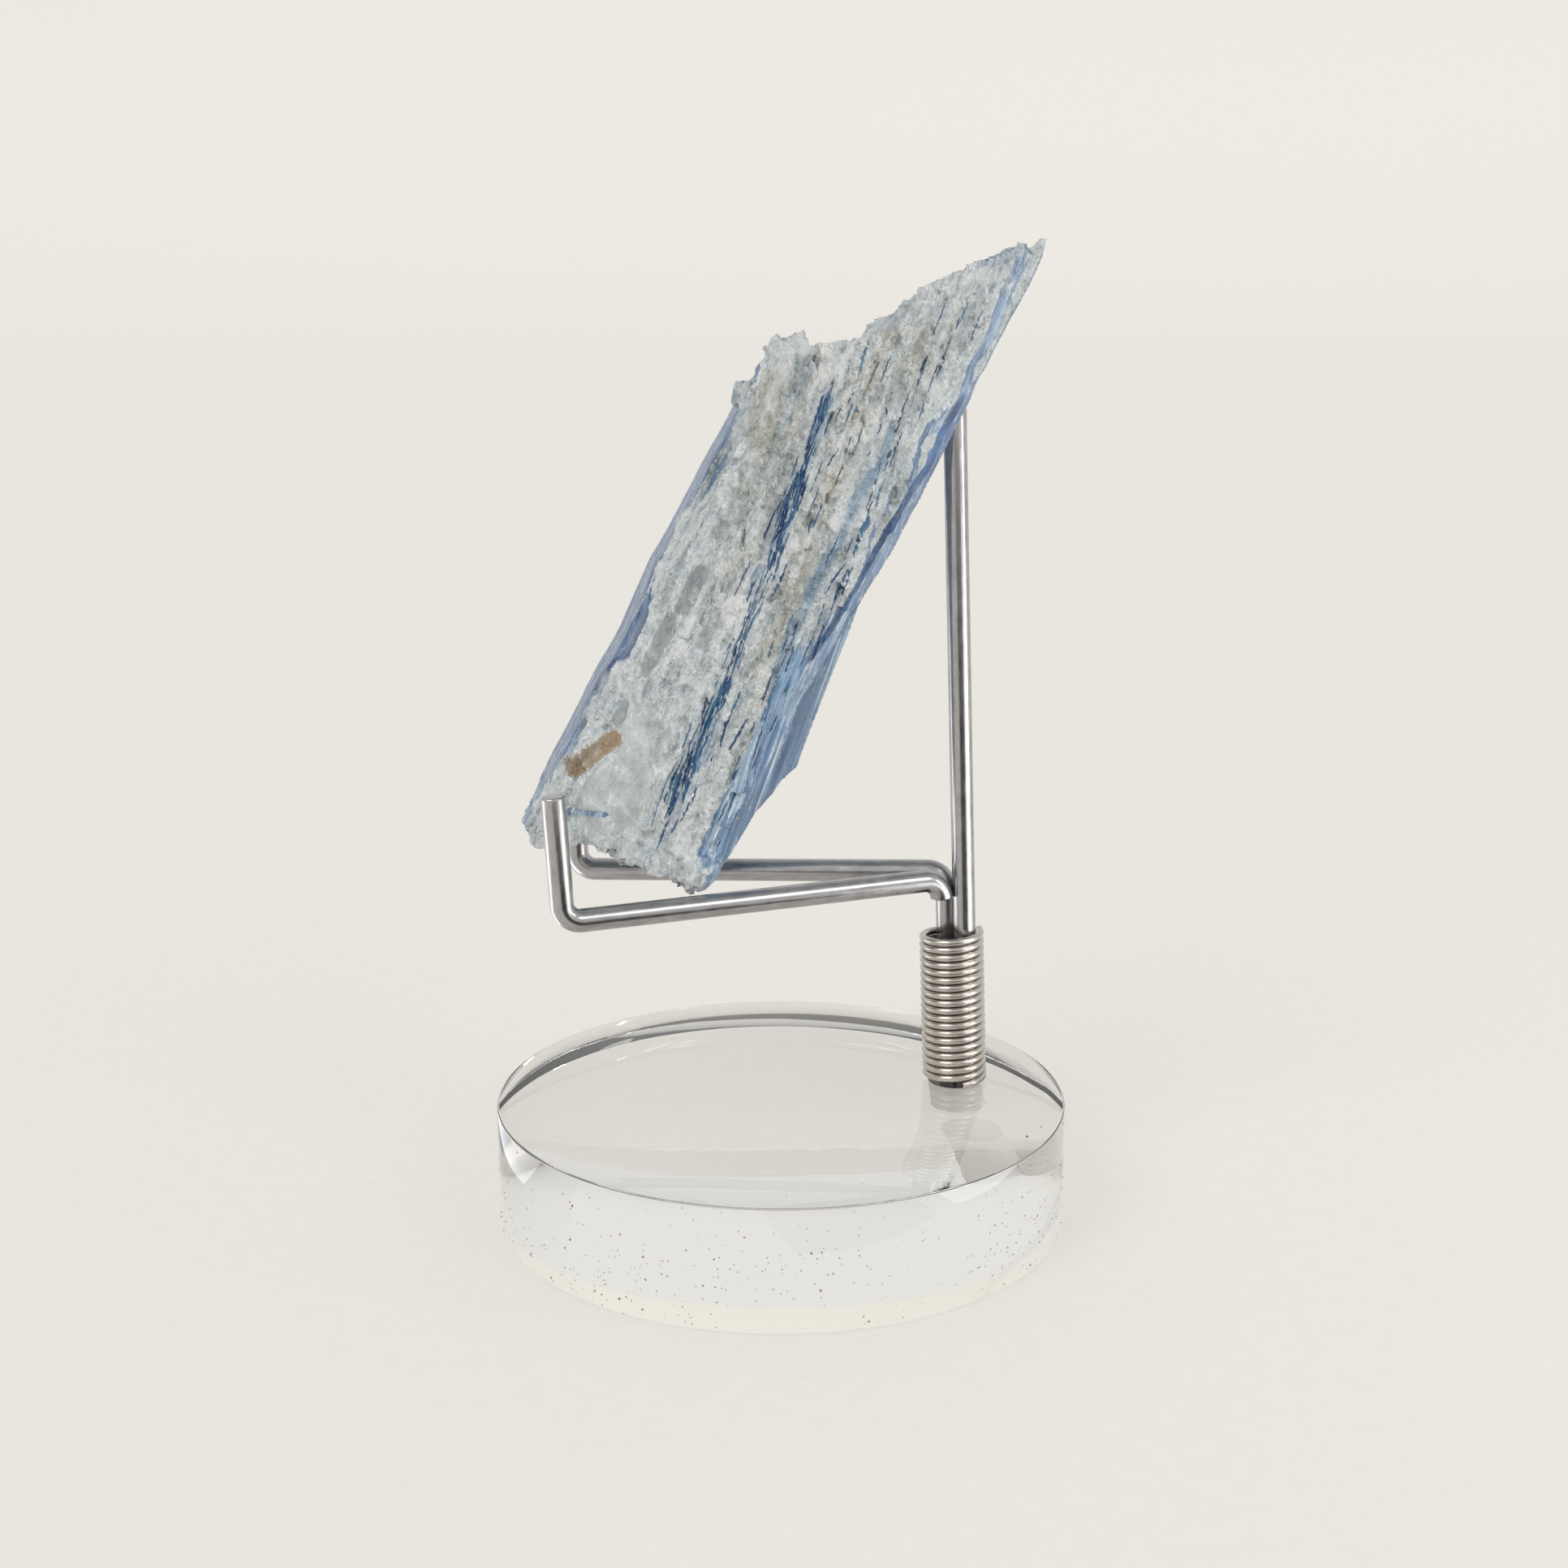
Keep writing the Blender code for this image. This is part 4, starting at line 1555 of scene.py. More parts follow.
@dataclass
class KyaniteSpecimen:
    """The intergrown stone: blades, crust, quartz, streaks and stain."""

    axes: StoneAxes = field(default_factory=StoneAxes)
    voxel: float = 0.315 * MM
    seed: int = 23
    # Left limit of the ribbed blades on the near face: place along, place across.
    ribbed_limit: tuple[tuple[float, float], ...] = (
        (-4, 1.0), (10, 1.1), (20, 1.8), (31, 2.5), (38, 2.9), (46, 3.8), (58, 4.0), (70, 3.0),
    )
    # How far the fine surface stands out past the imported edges: place along, millimetres.
    front_growth: tuple[tuple[float, float], ...] = (
        (-2, 0), (2, 0.45), (5, 0.6), (9.7, 0.7), (14, 0.85), (18.5, 0.7), (22.9, 0.4), (27.3, 0.6), (31.7, 0.8),
        (36, 0.45), (40.5, 0.35), (45, 0.5), (54, 0.4), (57, 0.6), (60.5, 1.5), (64, 1.5),
    )
    back_growth: tuple[tuple[float, float], ...] = (
        (-2, 0), (3, 0.4), (6, 0.7), (14.2, 0.9), (17, 0.4), (20, 0.3), (26.6, 0.45), (30.8, 0.6), (34.9, 0.9),
        (39, 1.0), (43.2, 1.3), (47.4, 1.5), (55.7, 1.4), (61, 1.3), (66, 1.1), (68, 0.8), (72.3, 0.5),
        (80.6, 0.4), (84, 0.1),
    )
    # Dark seam along the back edge of the near face.
    seam: tuple[tuple[float, float], ...] = (
        (30.6, -0.1), (34.8, -0.6), (40.3, -0.8), (48.5, -0.9), (53.4, -1.2), (56.7, -1.7), (62.2, -1.3), (67.0, -1.5),
    )
    # How deep the crust leaves the blue front edge bare: place along, depth.
    spill_limit: tuple[tuple[float, float], ...] = (
        (-1.3, -1.5), (3.9, 0.7), (8.8, 2.2), (12.7, 0.4), (17.3, 0.2), (21.0, 5.0), (23.0, 6.6), (27.0, 6.2),
        (30.1, 2.2),
        (33.7, 0.0), (38.4, 0.2), (43.2, 2.2), (47.0, 1.6), (51.5, -0.4), (56.0, -1.0),
    )
    # How dark the blue is along that border.
    spill_ink: tuple[tuple[float, float], ...] = (
        (0, 0.3), (10, 0.35), (18, 0.7), (23, 1.0), (28, 0.95), (33, 0.35), (38, 0.4), (44, 0.65), (50, 0.8), (56, 0.5),
    )
    # Middle of the soft lilac band on the near face.
    veil_line: tuple[tuple[float, float], ...] = (
        (26.3, 2.8), (30.6, 3.3), (34.6, 3.6), (39.3, 3.8), (43.8, 3.7), (50.1, 4.2), (54.7, 3.8), (58.9, 4.5),
    )
    # Middle of the band of streaks across the grain, and its half width.
    band_middle: float = 4.3
    band_half: float = 1.15
    # Where the streaks crowd: place along, reach, share.
    dense_places: tuple[tuple[float, float, float], ...] = ((45, 7, 1.0), (17, 7, 1.0), (57, 4, 0.6))
    needles: tuple[Needle, ...] = (
        Needle(((59.1, 12.8), (54.3, 12.1)), 0.36), Needle(((53.1, 12.2), (49.7, 11.0)), 0.5),
        Needle(((54.1, 9.0), (51.4, 9.1)), 0.22), Needle(((48.0, 11.7), (45.0, 11.3)), 0.4),
        Needle(((44.6, 12.0), (40.8, 11.6)), 0.42), Needle(((47.9, 10.5), (43.8, 10.0), (41.0, 10.7)), 0.7),
        Needle(((43.6, 10.5), (38.7, 9.3)), 0.34), Needle(((39.7, 7.9), (35.4, 7.5)), 0.55),
        Needle(((60.7, 6.3), (59.9, 5.8)), 0.3), Needle(((58.8, 5.9), (57.6, 5.7)), 0.26),
        Needle(((59.3, 9.2), (58.4, 9.1)), 0.4), Needle(((55.4, 5.5), (54.8, 5.4)), 0.2),
        Needle(((49.2, 9.6), (48.1, 9.4)), 0.24), Needle(((56.7, 3.4), (55.6, 3.3)), 0.6),
        Needle(((48.9, 2.0), (46.6, 1.9)), 0.9), Needle(((42.9, 1.7), (40.5, 2.1), (38.5, 2.1)), 0.42),
        Needle(((38.1, 11.8), (33.6, 11.7)), 0.2), Needle(((24.9, 7.2), (21.6, 6.8), (19.5, 7.2)), 0.2),
        Needle(((24.0, 5.6), (20.6, 5.5), (16.9, 4.6)), 0.6), Needle(((21.5, 3.3), (17.1, 3.5)), 0.5),
        Needle(((21.6, 8.8), (18.8, 8.2)), 0.24), Needle(((18.5, 8.1), (15.8, 8.0), (12.9, 7.2)), 0.28),
        Needle(((18.3, 6.6), (16.4, 6.5), (13.2, 6.6)), 0.38), Needle(((16.4, 7.6), (13.5, 7.4)), 0.22),
        Needle(((12.6, 6.2), (9.5, 5.8)), 0.36), Needle(((11.2, 7.1), (8.9, 6.7), (6.4, 6.5)), 0.3),
        Needle(((7.3, 5.1), (5.2, 4.9)), 0.26), Needle(((13.7, 8.3), (11.1, 8.4), (7.8, 8.0), (5.0, 7.5)), 0.18),
        Needle(((15.5, 4.9), (15.0, 4.7)), 0.22),
    )
    marks: tuple[Mark, ...] = (
        Mark(Zone.RUST, (6.9, 18.6), (12.4, 16.2), 1.05),
        Mark(Zone.SMOKY, (14.4, 16.8), (16.4, 16.9), 0.8, 0.9),
        Mark(Zone.UMBER, (51.0, 17.6), (57.0, 18.4), 1.9, 0.9),
        Mark(Zone.UMBER, (38.5, 15.8), (49.0, 17.0), 1.1, 0.55),
        Mark(Zone.UMBER, (65.4, 6.6), (68.2, 5.6), 1.6, 0.35),
        Mark(Zone.UMBER, (48.8, 7.6), (50.6, 7.4), 0.9, 0.6),
        Mark(Zone.WARM, (23.6, 3.6), (29.6, 3.4), 0.9),
        Mark(Zone.VEIL, (57.5, 17.0), (61.5, 17.4), 2.2, 0.5, (-6.0, 12.0)),
        Mark(Zone.VEIL, (70.0, 9.0), (78.4, 1.8), 1.2, 0.35, (-3.0, 12.0)),
        Mark(Zone.VEIL, (79.8, 4.2), (83.4, 0.6), 0.9, 0.6, (-3.0, 12.0)),
        Mark(Zone.VEIL, (76.6, 0.2), (79.4, -0.1), 1.2, 0.4, (-3.0, 12.0)),
        Mark(Zone.UMBER, (30.0, 14.2), (37.0, 13.8), 0.7, 0.5),
        Mark(Zone.VEIL, (34.5, 10.7), (38.0, 10.4), 0.5, 0.9),
        Mark(Zone.CLEAVAGE, (2.2, 16.8), (3.9, 13.1), 0.45, 0.85),
        # This white streak is a painted glint: a highlight painted in as pale colour.
        Mark(Zone.PALE, (57.5, 14.5), (60.9, 15.0), 0.22),
        Mark(Zone.PALE, (53.6, 20.0), (55.4, 20.0), 1.2, 0.4, (3.4, 12.0)),
        Mark(Zone.PALE, (0.5, -0.4), (1.5, -0.4), 1.3, 0.6),
    )
    # Curved breaks across the quartz, and how many white flake edges lie in the crust.
    breaks: tuple[Needle, ...] = (
        Needle(((6.0, 16.8), (7.6, 16.8), (9.3, 16.4), (10.7, 15.7), (11.8, 14.8), (12.7, 13.6)), 0.16),
        Needle(((12.7, 13.2), (11.8, 12.4), (10.5, 12.0), (9.1, 12.1), (7.5, 12.7), (6.3, 12.9)), 0.11),
        Needle(((17.6, 16.7), (16.5, 16.3), (15.2, 16.0), (13.8, 16.2)), 0.16),
        Needle(((3.9, 16.1), (2.6, 15.5), (1.9, 15.2)), 0.1),
        Needle(((5.6, 15.1), (7.1, 14.4), (8.7, 14.0)), 0.09),
        Needle(((11.9, 11.3), (10.7, 10.1), (8.7, 9.7)), 0.1),
        Needle(((5.0, 11.0), (4.7, 9.6), (3.7, 7.5)), 0.1),
        Needle(((15.2, 11.8), (13.3, 11.4), (11.7, 10.2)), 0.1),
        Needle(((0.3, 13.1), (0.2, 11.5), (1.2, 10.4)), 0.1),
        Needle(((60.3, 15.8), (59.3, 15.0), (57.4, 14.8)), 0.22),
        Needle(((39.8, 18.7), (38.2, 18.9), (37.0, 18.5)), 0.2),
        Needle(((41.1, 11.8), (39.8, 11.4), (38.4, 11.4)), 0.1),
    )
    flake_edges: int = 190
    # Random small needles: middle along, spread along, middle across the grain, spread, count.
    scatter: tuple[tuple[float, float, float, float, int], ...] = (
        (54.0, 4.0, 4.4, 0.35, 12), (45.0, 4.0, 4.2, 0.55, 44), (33.0, 4.0, 4.3, 0.45, 22),
        (19.0, 4.0, 4.5, 0.6, 34), (9.0, 3.0, 5.0, 0.7, 26), (52.0, 9.0, 1.0, 1.3, 16),
        (26.0, 12.0, -1.6, 0.9, 26), (45.0, 10.0, -4.6, 0.7, 22), (66.0, 6.0, -6.0, 1.6, 10),
    )

    def body(self, node: bpy.types.Object) -> bpy.types.Object:
        """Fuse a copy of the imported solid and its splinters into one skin.

        Args:
            node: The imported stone.

        Returns:
            The skin, evenly meshed.
        """
        body = node.copy()
        body.data = node.data.copy()
        bpy.context.scene.collection.objects.link(body)
        pick_object(body)
        bpy.ops.object.mode_set(mode="EDIT")
        bpy.ops.mesh.select_all(action="SELECT")
        bpy.ops.mesh.remove_doubles(threshold=0.002 * MM)
        bpy.ops.object.mode_set(mode="OBJECT")
        body = joined([body, *self.splinters()], "kyanite_specimen")
        skin = body.modifiers.new("skin", "REMESH")
        skin.mode = "VOXEL"
        skin.voxel_size = self.voxel
        apply_modifier(body, skin.name)
        return body

    def splinters(self) -> list[bpy.types.Object]:
        """Small pointed blades that stand out at the broken ends and ribs.

        Returns:
            The splinters, placed in the world.
        """
        drop_selection()
        bpy.ops.mesh.primitive_cube_add(size=1.0, location=(0.5, 0, 0))
        first = bpy.context.object
        settle(first)
        bpy.ops.object.mode_set(mode="EDIT")
        select_faces(lambda face: face.normal.x > 0.9)
        bpy.ops.mesh.extrude_region_move(TRANSFORM_OT_translate={"value": (0.35, 0.12, 0.05)})
        bpy.ops.transform.resize(value=(1, 0.3, 0.4), center_override=(1.35, 0.12, 0.05))
        select_edges(lambda edge: abs(edge.verts[0].co.x - edge.verts[1].co.x) > 0.8)
        bpy.ops.mesh.bevel(offset=0.16, segments=1, affect="EDGES")
        bpy.ops.object.mode_set(mode="OBJECT")
        dice = random.Random(self.seed)
        turn = self.axes.matrix().to_4x4()
        lift = Matrix.Translation(Vector(self.axes.foot) * MM)
        made = []
        # Head lobe, head notch, tip side, foot, near face ribs, back edge.
        sites = (
            (10, (56.5, 60.0), (11.0, 19.0), (-5.0, 6.0), (1.0, 2.3)),
            (10, (60.0, 64.5), (3.0, 11.0), (-5.0, 6.0), (1.5, 3.4)),
            (8, (65.0, 76.0), (-0.5, 3.4), (-1.0, 4.6), (2.0, 4.0)),
            (6, (-1.4, 0.8), (3.0, 16.0), (-4.5, 5.0), (1.4, 2.4)),
            (20, (4.0, 50.0), (0.0, 2.6), (4.6, 6.8), (4.0, 10.0)),
            (22, (6.0, 58.0), (4.5, 18.0), (6.4, 7.3), (1.6, 5.0)),
        )
        for count, along, across, deep, length in sites:
            for _ in range(count):
                size = (dice.uniform(*length), dice.uniform(0.6, 1.5), dice.uniform(0.6, 1.4))
                place = (dice.uniform(*along), dice.uniform(*across), dice.uniform(*deep))
                copy = bpy.data.objects.new("splinter", first.data.copy())
                bpy.context.scene.collection.objects.link(copy)
                swing = Matrix.Rotation(self.axes.grain + dice.gauss(0, 0.06), 4, "Z")
                set_in = Matrix.Translation(Vector(place)) @ swing
                roll = Matrix.Rotation(dice.uniform(0, math.pi), 4, "X")
                shape = Matrix.Diagonal((*size, 1.0))
                copy.data.transform(lift @ turn @ Matrix.Scale(MM, 4) @ set_in @ roll @ shape)
                made.append(copy)
        bpy.data.objects.remove(first, do_unlink=True)
        return made

    def zones(self, stone: np.ndarray, normal: np.ndarray) -> dict[Zone, np.ndarray]:
        """Share of each zone at every vertex.

        Args:
            stone: Places on the stone's axes.
            normal: Normals on the stone's axes.

        Returns:
            Values 0 to 1 for each zone.
        """
        along, across, deep = stone.T
        grain = self.axes.along_grain(stone)
        near = ramp01(normal[:, 2], 0.25, 0.6) * ramp01(deep, 1.5, 3.5)
        limit = np.interp(along, *np.array(self.ribbed_limit).T)
        seam = np.interp(along, *np.array(self.seam).T)
        found = {}
        spill = np.interp(along, *np.array(self.spill_limit).T)
        front_face = ramp01(normal[:, 1], 0.6, 0.85) * ramp01(across, 16.8, 17.8)
        front = front_face * ramp01(spill - deep, -0.5, 0.7)
        rear = ramp01(-normal[:, 1], 0.2, 0.6) * ramp01(across, 1.6, 0.4)
        outer = ramp01(seam - across, -0.1, 0.5) * ramp01(along, 26, 34) * ramp01(along, 70, 65)
        rear_blade = ramp01(across, -1.4, -2.2) * ramp01(along, 44, 40)
        found[Zone.CLEAVAGE] = np.clip(np.maximum.reduce((
            front * ramp01(along, 61, 56) * ramp01(along, -1, 4), rear, outer, rear_blade,
            0.9 * ramp01(-normal[:, 2], 0.3, 0.7),
        )), 0, 1)
        strip = near * ramp01(across - limit, 0.4, -0.3)
        found[Zone.RIBBED] = np.clip(strip * ramp01(along, 38, 26), 0, 1) * ramp01(along, 1.0, 6.0)
        veil = np.interp(along, *np.array(self.veil_line).T)
        reach = near * ramp01(along, 62, 57) * ramp01(along, 22, 28)
        found[Zone.VEIL] = np.exp(-((across - veil) / 0.95) ** 2) * reach
        found[Zone.QUARTZ] = near * np.exp(-((along - 9.0) / 8.5) ** 4 - ((across - 13.0) / 4.2) ** 4)
        smoky = np.zeros(len(stone))
        for x, y, a, b in ((24.6, 16.7, 4.6, 1.1), (32.0, 16.2, 4.0, 1.05), (28.0, 12.4, 2.2, 0.9)):
            smoky = np.maximum(smoky, np.exp(-((along - x) / a) ** 4 - ((across - y) / b) ** 4))
        found[Zone.SMOKY] = near * smoky
        warm = np.maximum(
            np.exp(-((grain[:, 1] - 0.6) / 1.9) ** 2) * ramp01(along, 12, 26),
            0.8 * np.exp(-((grain[:, 1] - 7.6) / 2.2) ** 2) * ramp01(along, 26, 40),
        )
        head_warm = 0.9 * np.exp(-((along - 68) / 6) ** 2 - ((across - 5.5) / 2.5) ** 2)
        found[Zone.WARM] = near * np.clip(np.maximum(warm, head_warm), 0, 1)
        band = np.exp(-((grain[:, 1] - self.band_middle) / self.band_half) ** 2)
        thick = sum(share * np.exp(-((along - place) / reach) ** 2) for place, reach, share in self.dense_places)
        dense = 0.35 + 0.65 * np.clip(thick, 0, 1)
        found[Zone.STREAK] = near * band * dense * ramp01(along, 62, 58) * ramp01(along, 1.5, 5)
        line = np.exp(-((across - seam) / 0.5) ** 2) * ramp01(deep, 2.0, 3.4)
        line = line * ramp01(along, 68, 64) * ramp01(along, 28, 33)
        inked = np.interp(along, *np.array(self.spill_ink).T)
        found[Zone.SEAM] = np.maximum(line, front_face * inked * np.exp(-((deep - spill + 1.2) / 1.5) ** 2))
        found[Zone.RUST] = np.zeros(len(stone))
        found[Zone.UMBER] = np.zeros(len(stone))
        found[Zone.VEIL] = np.maximum(found[Zone.VEIL], 0.8 * front_face * ramp01(spill - deep, -2.0, 0.0))
        rim = near * np.exp(-((along - 30) / 22) ** 2 - ((across - 0.6) / 0.8) ** 2) * ramp01(along, 34, 40)
        found[Zone.PALE] = 0.4 * ramp01(along, 83.6, 85.2) + 0.7 * rim
        for mark in self.marks:
            found[mark.zone] = np.maximum(found[mark.zone], mark.share(stone))
        return found

    def carve(self, body: bpy.types.Object) -> None:
        """Give the skin its relief and store the zones in it.

        Args:
            body: The fused skin.
        """
        stone = self.axes.to_stone(ring_of(body))
        along, across = stone[:, 0].copy(), stone[:, 1].copy()
        stone[:, 1] += np.interp(along, *np.array(self.front_growth).T) * ramp01(across, 14.0, 18.5)
        stone[:, 1] -= np.interp(along, *np.array(self.back_growth).T) * ramp01(across, 5.0, 0.0)
        normal = np.empty(len(body.data.vertices) * 3)
        body.data.vertices.foreach_get("normal", normal)
        normal = normal.reshape(-1, 3) @ np.array(self.axes.matrix())
        zones = self.zones(stone, normal)
        height = StoneRelief(self.axes).height(stone, normal, zones)
        seam = np.interp(along, *np.array(self.seam).T)
        calm = ramp01(stone[:, 1] - seam, 1.6, -0.2) * ramp01(along, 24, 30) * ramp01(along, 74, 68)
        height *= 1 - 0.75 * calm
        height -= 0.75 * ramp01(normal[:, 0], 0.3, 0.8) * ramp01(along, 60, 63) * ramp01(along, 82, 78)
        moved = self.axes.to_world(stone + normal * height[:, None])
        body.data.vertices.foreach_set("co", moved.astype(np.float32).ravel())
        body.data.update()
        rough = 1 - np.maximum.reduce((zones[Zone.CLEAVAGE], zones[Zone.RIBBED], zones[Zone.QUARTZ]))
        # The relief's height also sets painted light, away from the cleavage faces, ribbed blades and quartz: painted
        # shade in its hollows and painted highlight on its ridges.
        zones[Zone.HOLLOW] = ramp01(height, -0.02, -0.45) * rough
        zones[Zone.RAISED] = ramp01(height, 0.12, 0.45) * rough
        for part, share in zones.items():
            write_values(body, part.value, share)

    def all_needles(self) -> list[Needle]:
        """The placed needles and the scattered small ones.

        Returns:
            Every needle.
        """
        dice = random.Random(self.seed + 5)
        slope = math.tan(self.axes.grain)
        found = list(self.needles)
        for middle, spread, across, wander, count in self.scatter:
            for _ in range(count):
                start = dice.gauss(middle, spread)
                level = dice.gauss(across, wander) / math.cos(self.axes.grain) + slope * start
                length = dice.uniform(1.0, 4.4)
                end = level + slope * length + dice.gauss(0, 0.04) * length
                found.append(Needle(((start, level), (start + length, end)), dice.uniform(0.13, 0.36)))
        return found

    def white_edges(self) -> list[Needle]:
        """The curved breaks in the quartz and scattered white flake edges.

        Returns:
            Every edge.
        """
        dice = random.Random(self.seed + 11)
        slope = math.tan(self.axes.grain)
        found = list(self.breaks)
        for _ in range(self.flake_edges):
            start, level = dice.uniform(3, 64), dice.uniform(1.5, 18.5)
            length = dice.uniform(0.5, 2.4)
            lean = slope + dice.gauss(0, 0.22)
            middle = (start + length / 2, level + lean * length / 2 + dice.gauss(0, 0.12) * length)
            end = (start + length, level + lean * length)
            found.append(Needle(((start, level), middle, end), dice.uniform(0.06, 0.15)))
        return found

    def lay_needle(
        self, shape: bmesh.types.BMesh, needle: Needle, skin: BVHTree, dice: random.Random,
    ) -> None:
        """Lay one needle on the skin as a low pointed lath.

        Args:
            shape: Mesh on the stone's axes that takes the needle.
            needle: The needle.
            skin: The carved skin, on the stone's axes.
            dice: Seeded source of small irregularities.
        """
        line = np.array(needle.line)
        legs = np.linalg.norm(np.diff(line, axis=0), axis=1)
        total = legs.sum()
        count = max(4, math.ceil(total / 0.4))
        shares = np.linspace(0, total, count + 1)
        marks = np.concatenate(([0.0], np.cumsum(legs)))
        xs, ys = (np.interp(shares, marks, line[:, axis]) for axis in (0, 1))
        heading = math.atan2(line[-1][1] - line[0][1], line[-1][0] - line[0][0])
        side = np.array((-math.sin(heading), math.cos(heading)))
        levels, middles = [], []
        for x, y in zip(xs, ys):
            hit = skin.ray_cast(Vector((x, y, 20)), Vector((0, 0, -1)))[0]
            if hit is None or hit.z < 1.0:
                return
            levels.append(hit.z)
            middles.append((x, y))
        levels = np.convolve(np.pad(levels, 1, mode="edge"), (0.25, 0.5, 0.25), mode="valid")
        rings = []
        for number, ((x, y), level) in enumerate(zip(middles, levels)):
            share = number / count
            half = needle.width / 2 * max(0.05, math.sin(math.pi * share) ** 0.45) * dice.uniform(0.8, 1.2)
            wobble = dice.gauss(0, 0.04)
            section = ((-1, -0.16), (-0.5, 0.07), (0.1, 0.11), (0.6, 0.06), (1, -0.16), (0, -0.4))
            ring = []
            for offset, rise in section:
                at = np.array((x, y)) + side * (half * offset + wobble)
                ring.append(shape.verts.new((at[0], at[1], level + rise)))
            rings.append(ring)
        for first, second in zip(rings, rings[1:]):
            for i in range(len(first)):
                j = (i + 1) % len(first)
                shape.faces.new((first[i], first[j], second[j], second[i]))
        shape.faces.new(rings[0][::-1])
        shape.faces.new(rings[-1])

    def needle_mesh(self, needles: Iterable[Needle], skin: BVHTree) -> bpy.types.Object:
        """Needles laid on the skin as one mesh.

        Args:
            needles: The needles.
            skin: The carved skin, on the stone's axes.

        Returns:
            The needles, in the world.
        """
        dice = random.Random(self.seed + 9)
        shape = bmesh.new()
        for needle in needles:
            self.lay_needle(shape, needle, skin, dice)
        bmesh.ops.recalc_face_normals(shape, faces=shape.faces)
        data = bpy.data.meshes.new("needles")
        shape.to_mesh(data)
        shape.free()
        thing = bpy.data.objects.new("needles", data)
        bpy.context.scene.collection.objects.link(thing)
        world = self.axes.to_world(ring_of(thing))
        data.vertices.foreach_set("co", world.astype(np.float32).ravel())
        data.update()
        return thing

    def build(self, node: bpy.types.Object) -> bpy.types.Object:
        """Model and dress the stone.

        Args:
            node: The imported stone.

        Returns:
            The finished stone.
        """
        body = self.body(node)
        self.carve(body)
        places = [tuple(place) for place in self.axes.to_stone(ring_of(body))]
        skin = BVHTree.FromPolygons(places, [tuple(face.vertices) for face in body.data.polygons])
        navy = self.needle_mesh(self.all_needles(), skin)
        white = self.needle_mesh(self.white_edges(), skin)
        whites = (srgb(206, 214, 216), srgb(226, 231, 232), srgb(240, 243, 243))
        pale = CrystalNeedle(self.axes, "white_crystal_edges", *whites)
        dress(body, (KyaniteStone(self.axes).build(), CrystalNeedle(self.axes).build(), pale.build()))
        body.data.polygons.foreach_set("material_index", [0] * len(body.data.polygons))
        navy.data.materials.append(body.data.materials[1])
        white.data.materials.append(body.data.materials[2])
        body = joined([body, navy, white], "kyanite_specimen")
        smooth(body, 38)
        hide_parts("kyanite_blade_specimen")
        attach(body, "root")
        return body


# Studio


@dataclass(frozen=True)
class Window:
    """A broad, distant window: a sun lamp with a wide angle.

    Its place is an angle from the camera, right positive, and a height.
    """

    name: str
    beside: float
    height: float
    width: float
    strength: float
    colour: Colour = (1.0, 1.0, 1.0)

    def build(self, azimuth: float) -> bpy.types.Object:
        """Open the window.

        Args:
            azimuth: The camera's place round the object, in degrees.

        Returns:
            The light.
        """
        lamp = bpy.data.lights.new(self.name, "SUN")
        lamp.energy = self.strength
        lamp.angle = math.radians(self.width)
        lamp.color = self.colour
        window = bpy.data.objects.new(self.name, lamp)
        bpy.context.scene.collection.objects.link(window)
        a, e = math.radians(azimuth + self.beside), math.radians(self.height)
        toward = Vector((math.sin(a) * math.cos(e), -math.cos(a) * math.cos(e), math.sin(e)))
        window.rotation_euler = toward.to_track_quat("Z", "Y").to_euler()
        return window


@dataclass(frozen=True)
class SoftBox:
    """A soft rectangular studio light, in millimetres."""

    name: str
    place: tuple[float, float, float]
    aim: tuple[float, float, float]
    size: tuple[float, float]
    power: float
    colour: Colour = (1.0, 1.0, 1.0)

    def build(self) -> bpy.types.Object:
        """Hang the light.

        Returns:
            The light.
        """
        lamp = bpy.data.lights.new(self.name, "AREA")
        lamp.shape = "RECTANGLE"
        lamp.size, lamp.size_y = self.size[0] * MM, self.size[1] * MM
        lamp.energy = self.power
        lamp.color = self.colour
        box = bpy.data.objects.new(self.name, lamp)
        bpy.context.scene.collection.objects.link(box)
        place = Vector(self.place) * MM
        box.location = place
        box.rotation_euler = (Vector(self.aim) * MM - place).to_track_quat("-Z", "Y").to_euler()
        box.visible_camera = False
        return box


@dataclass(frozen=True)
class CardPaint:
    """Mottled paint of a dark or a glowing studio card."""

    name: str
    low: Colour
    high: Colour
    glow: float

    def build(self) -> bpy.types.Material:
        """Lay the material out.

        Returns:
            The material.
        """
        bench = Bench(self.name)
        cloud = bench.clouds(bench.mapped(bench.place, (1000, 1000, 1000)), 0.05, 3)
        body = bench.shades(cloud, ((0.35, self.low), (0.65, self.high)))
        bench.fix(Base_Color=body, Roughness=0.8, Emission_Color=body, Emission_Strength=self.glow)
        return bench.made


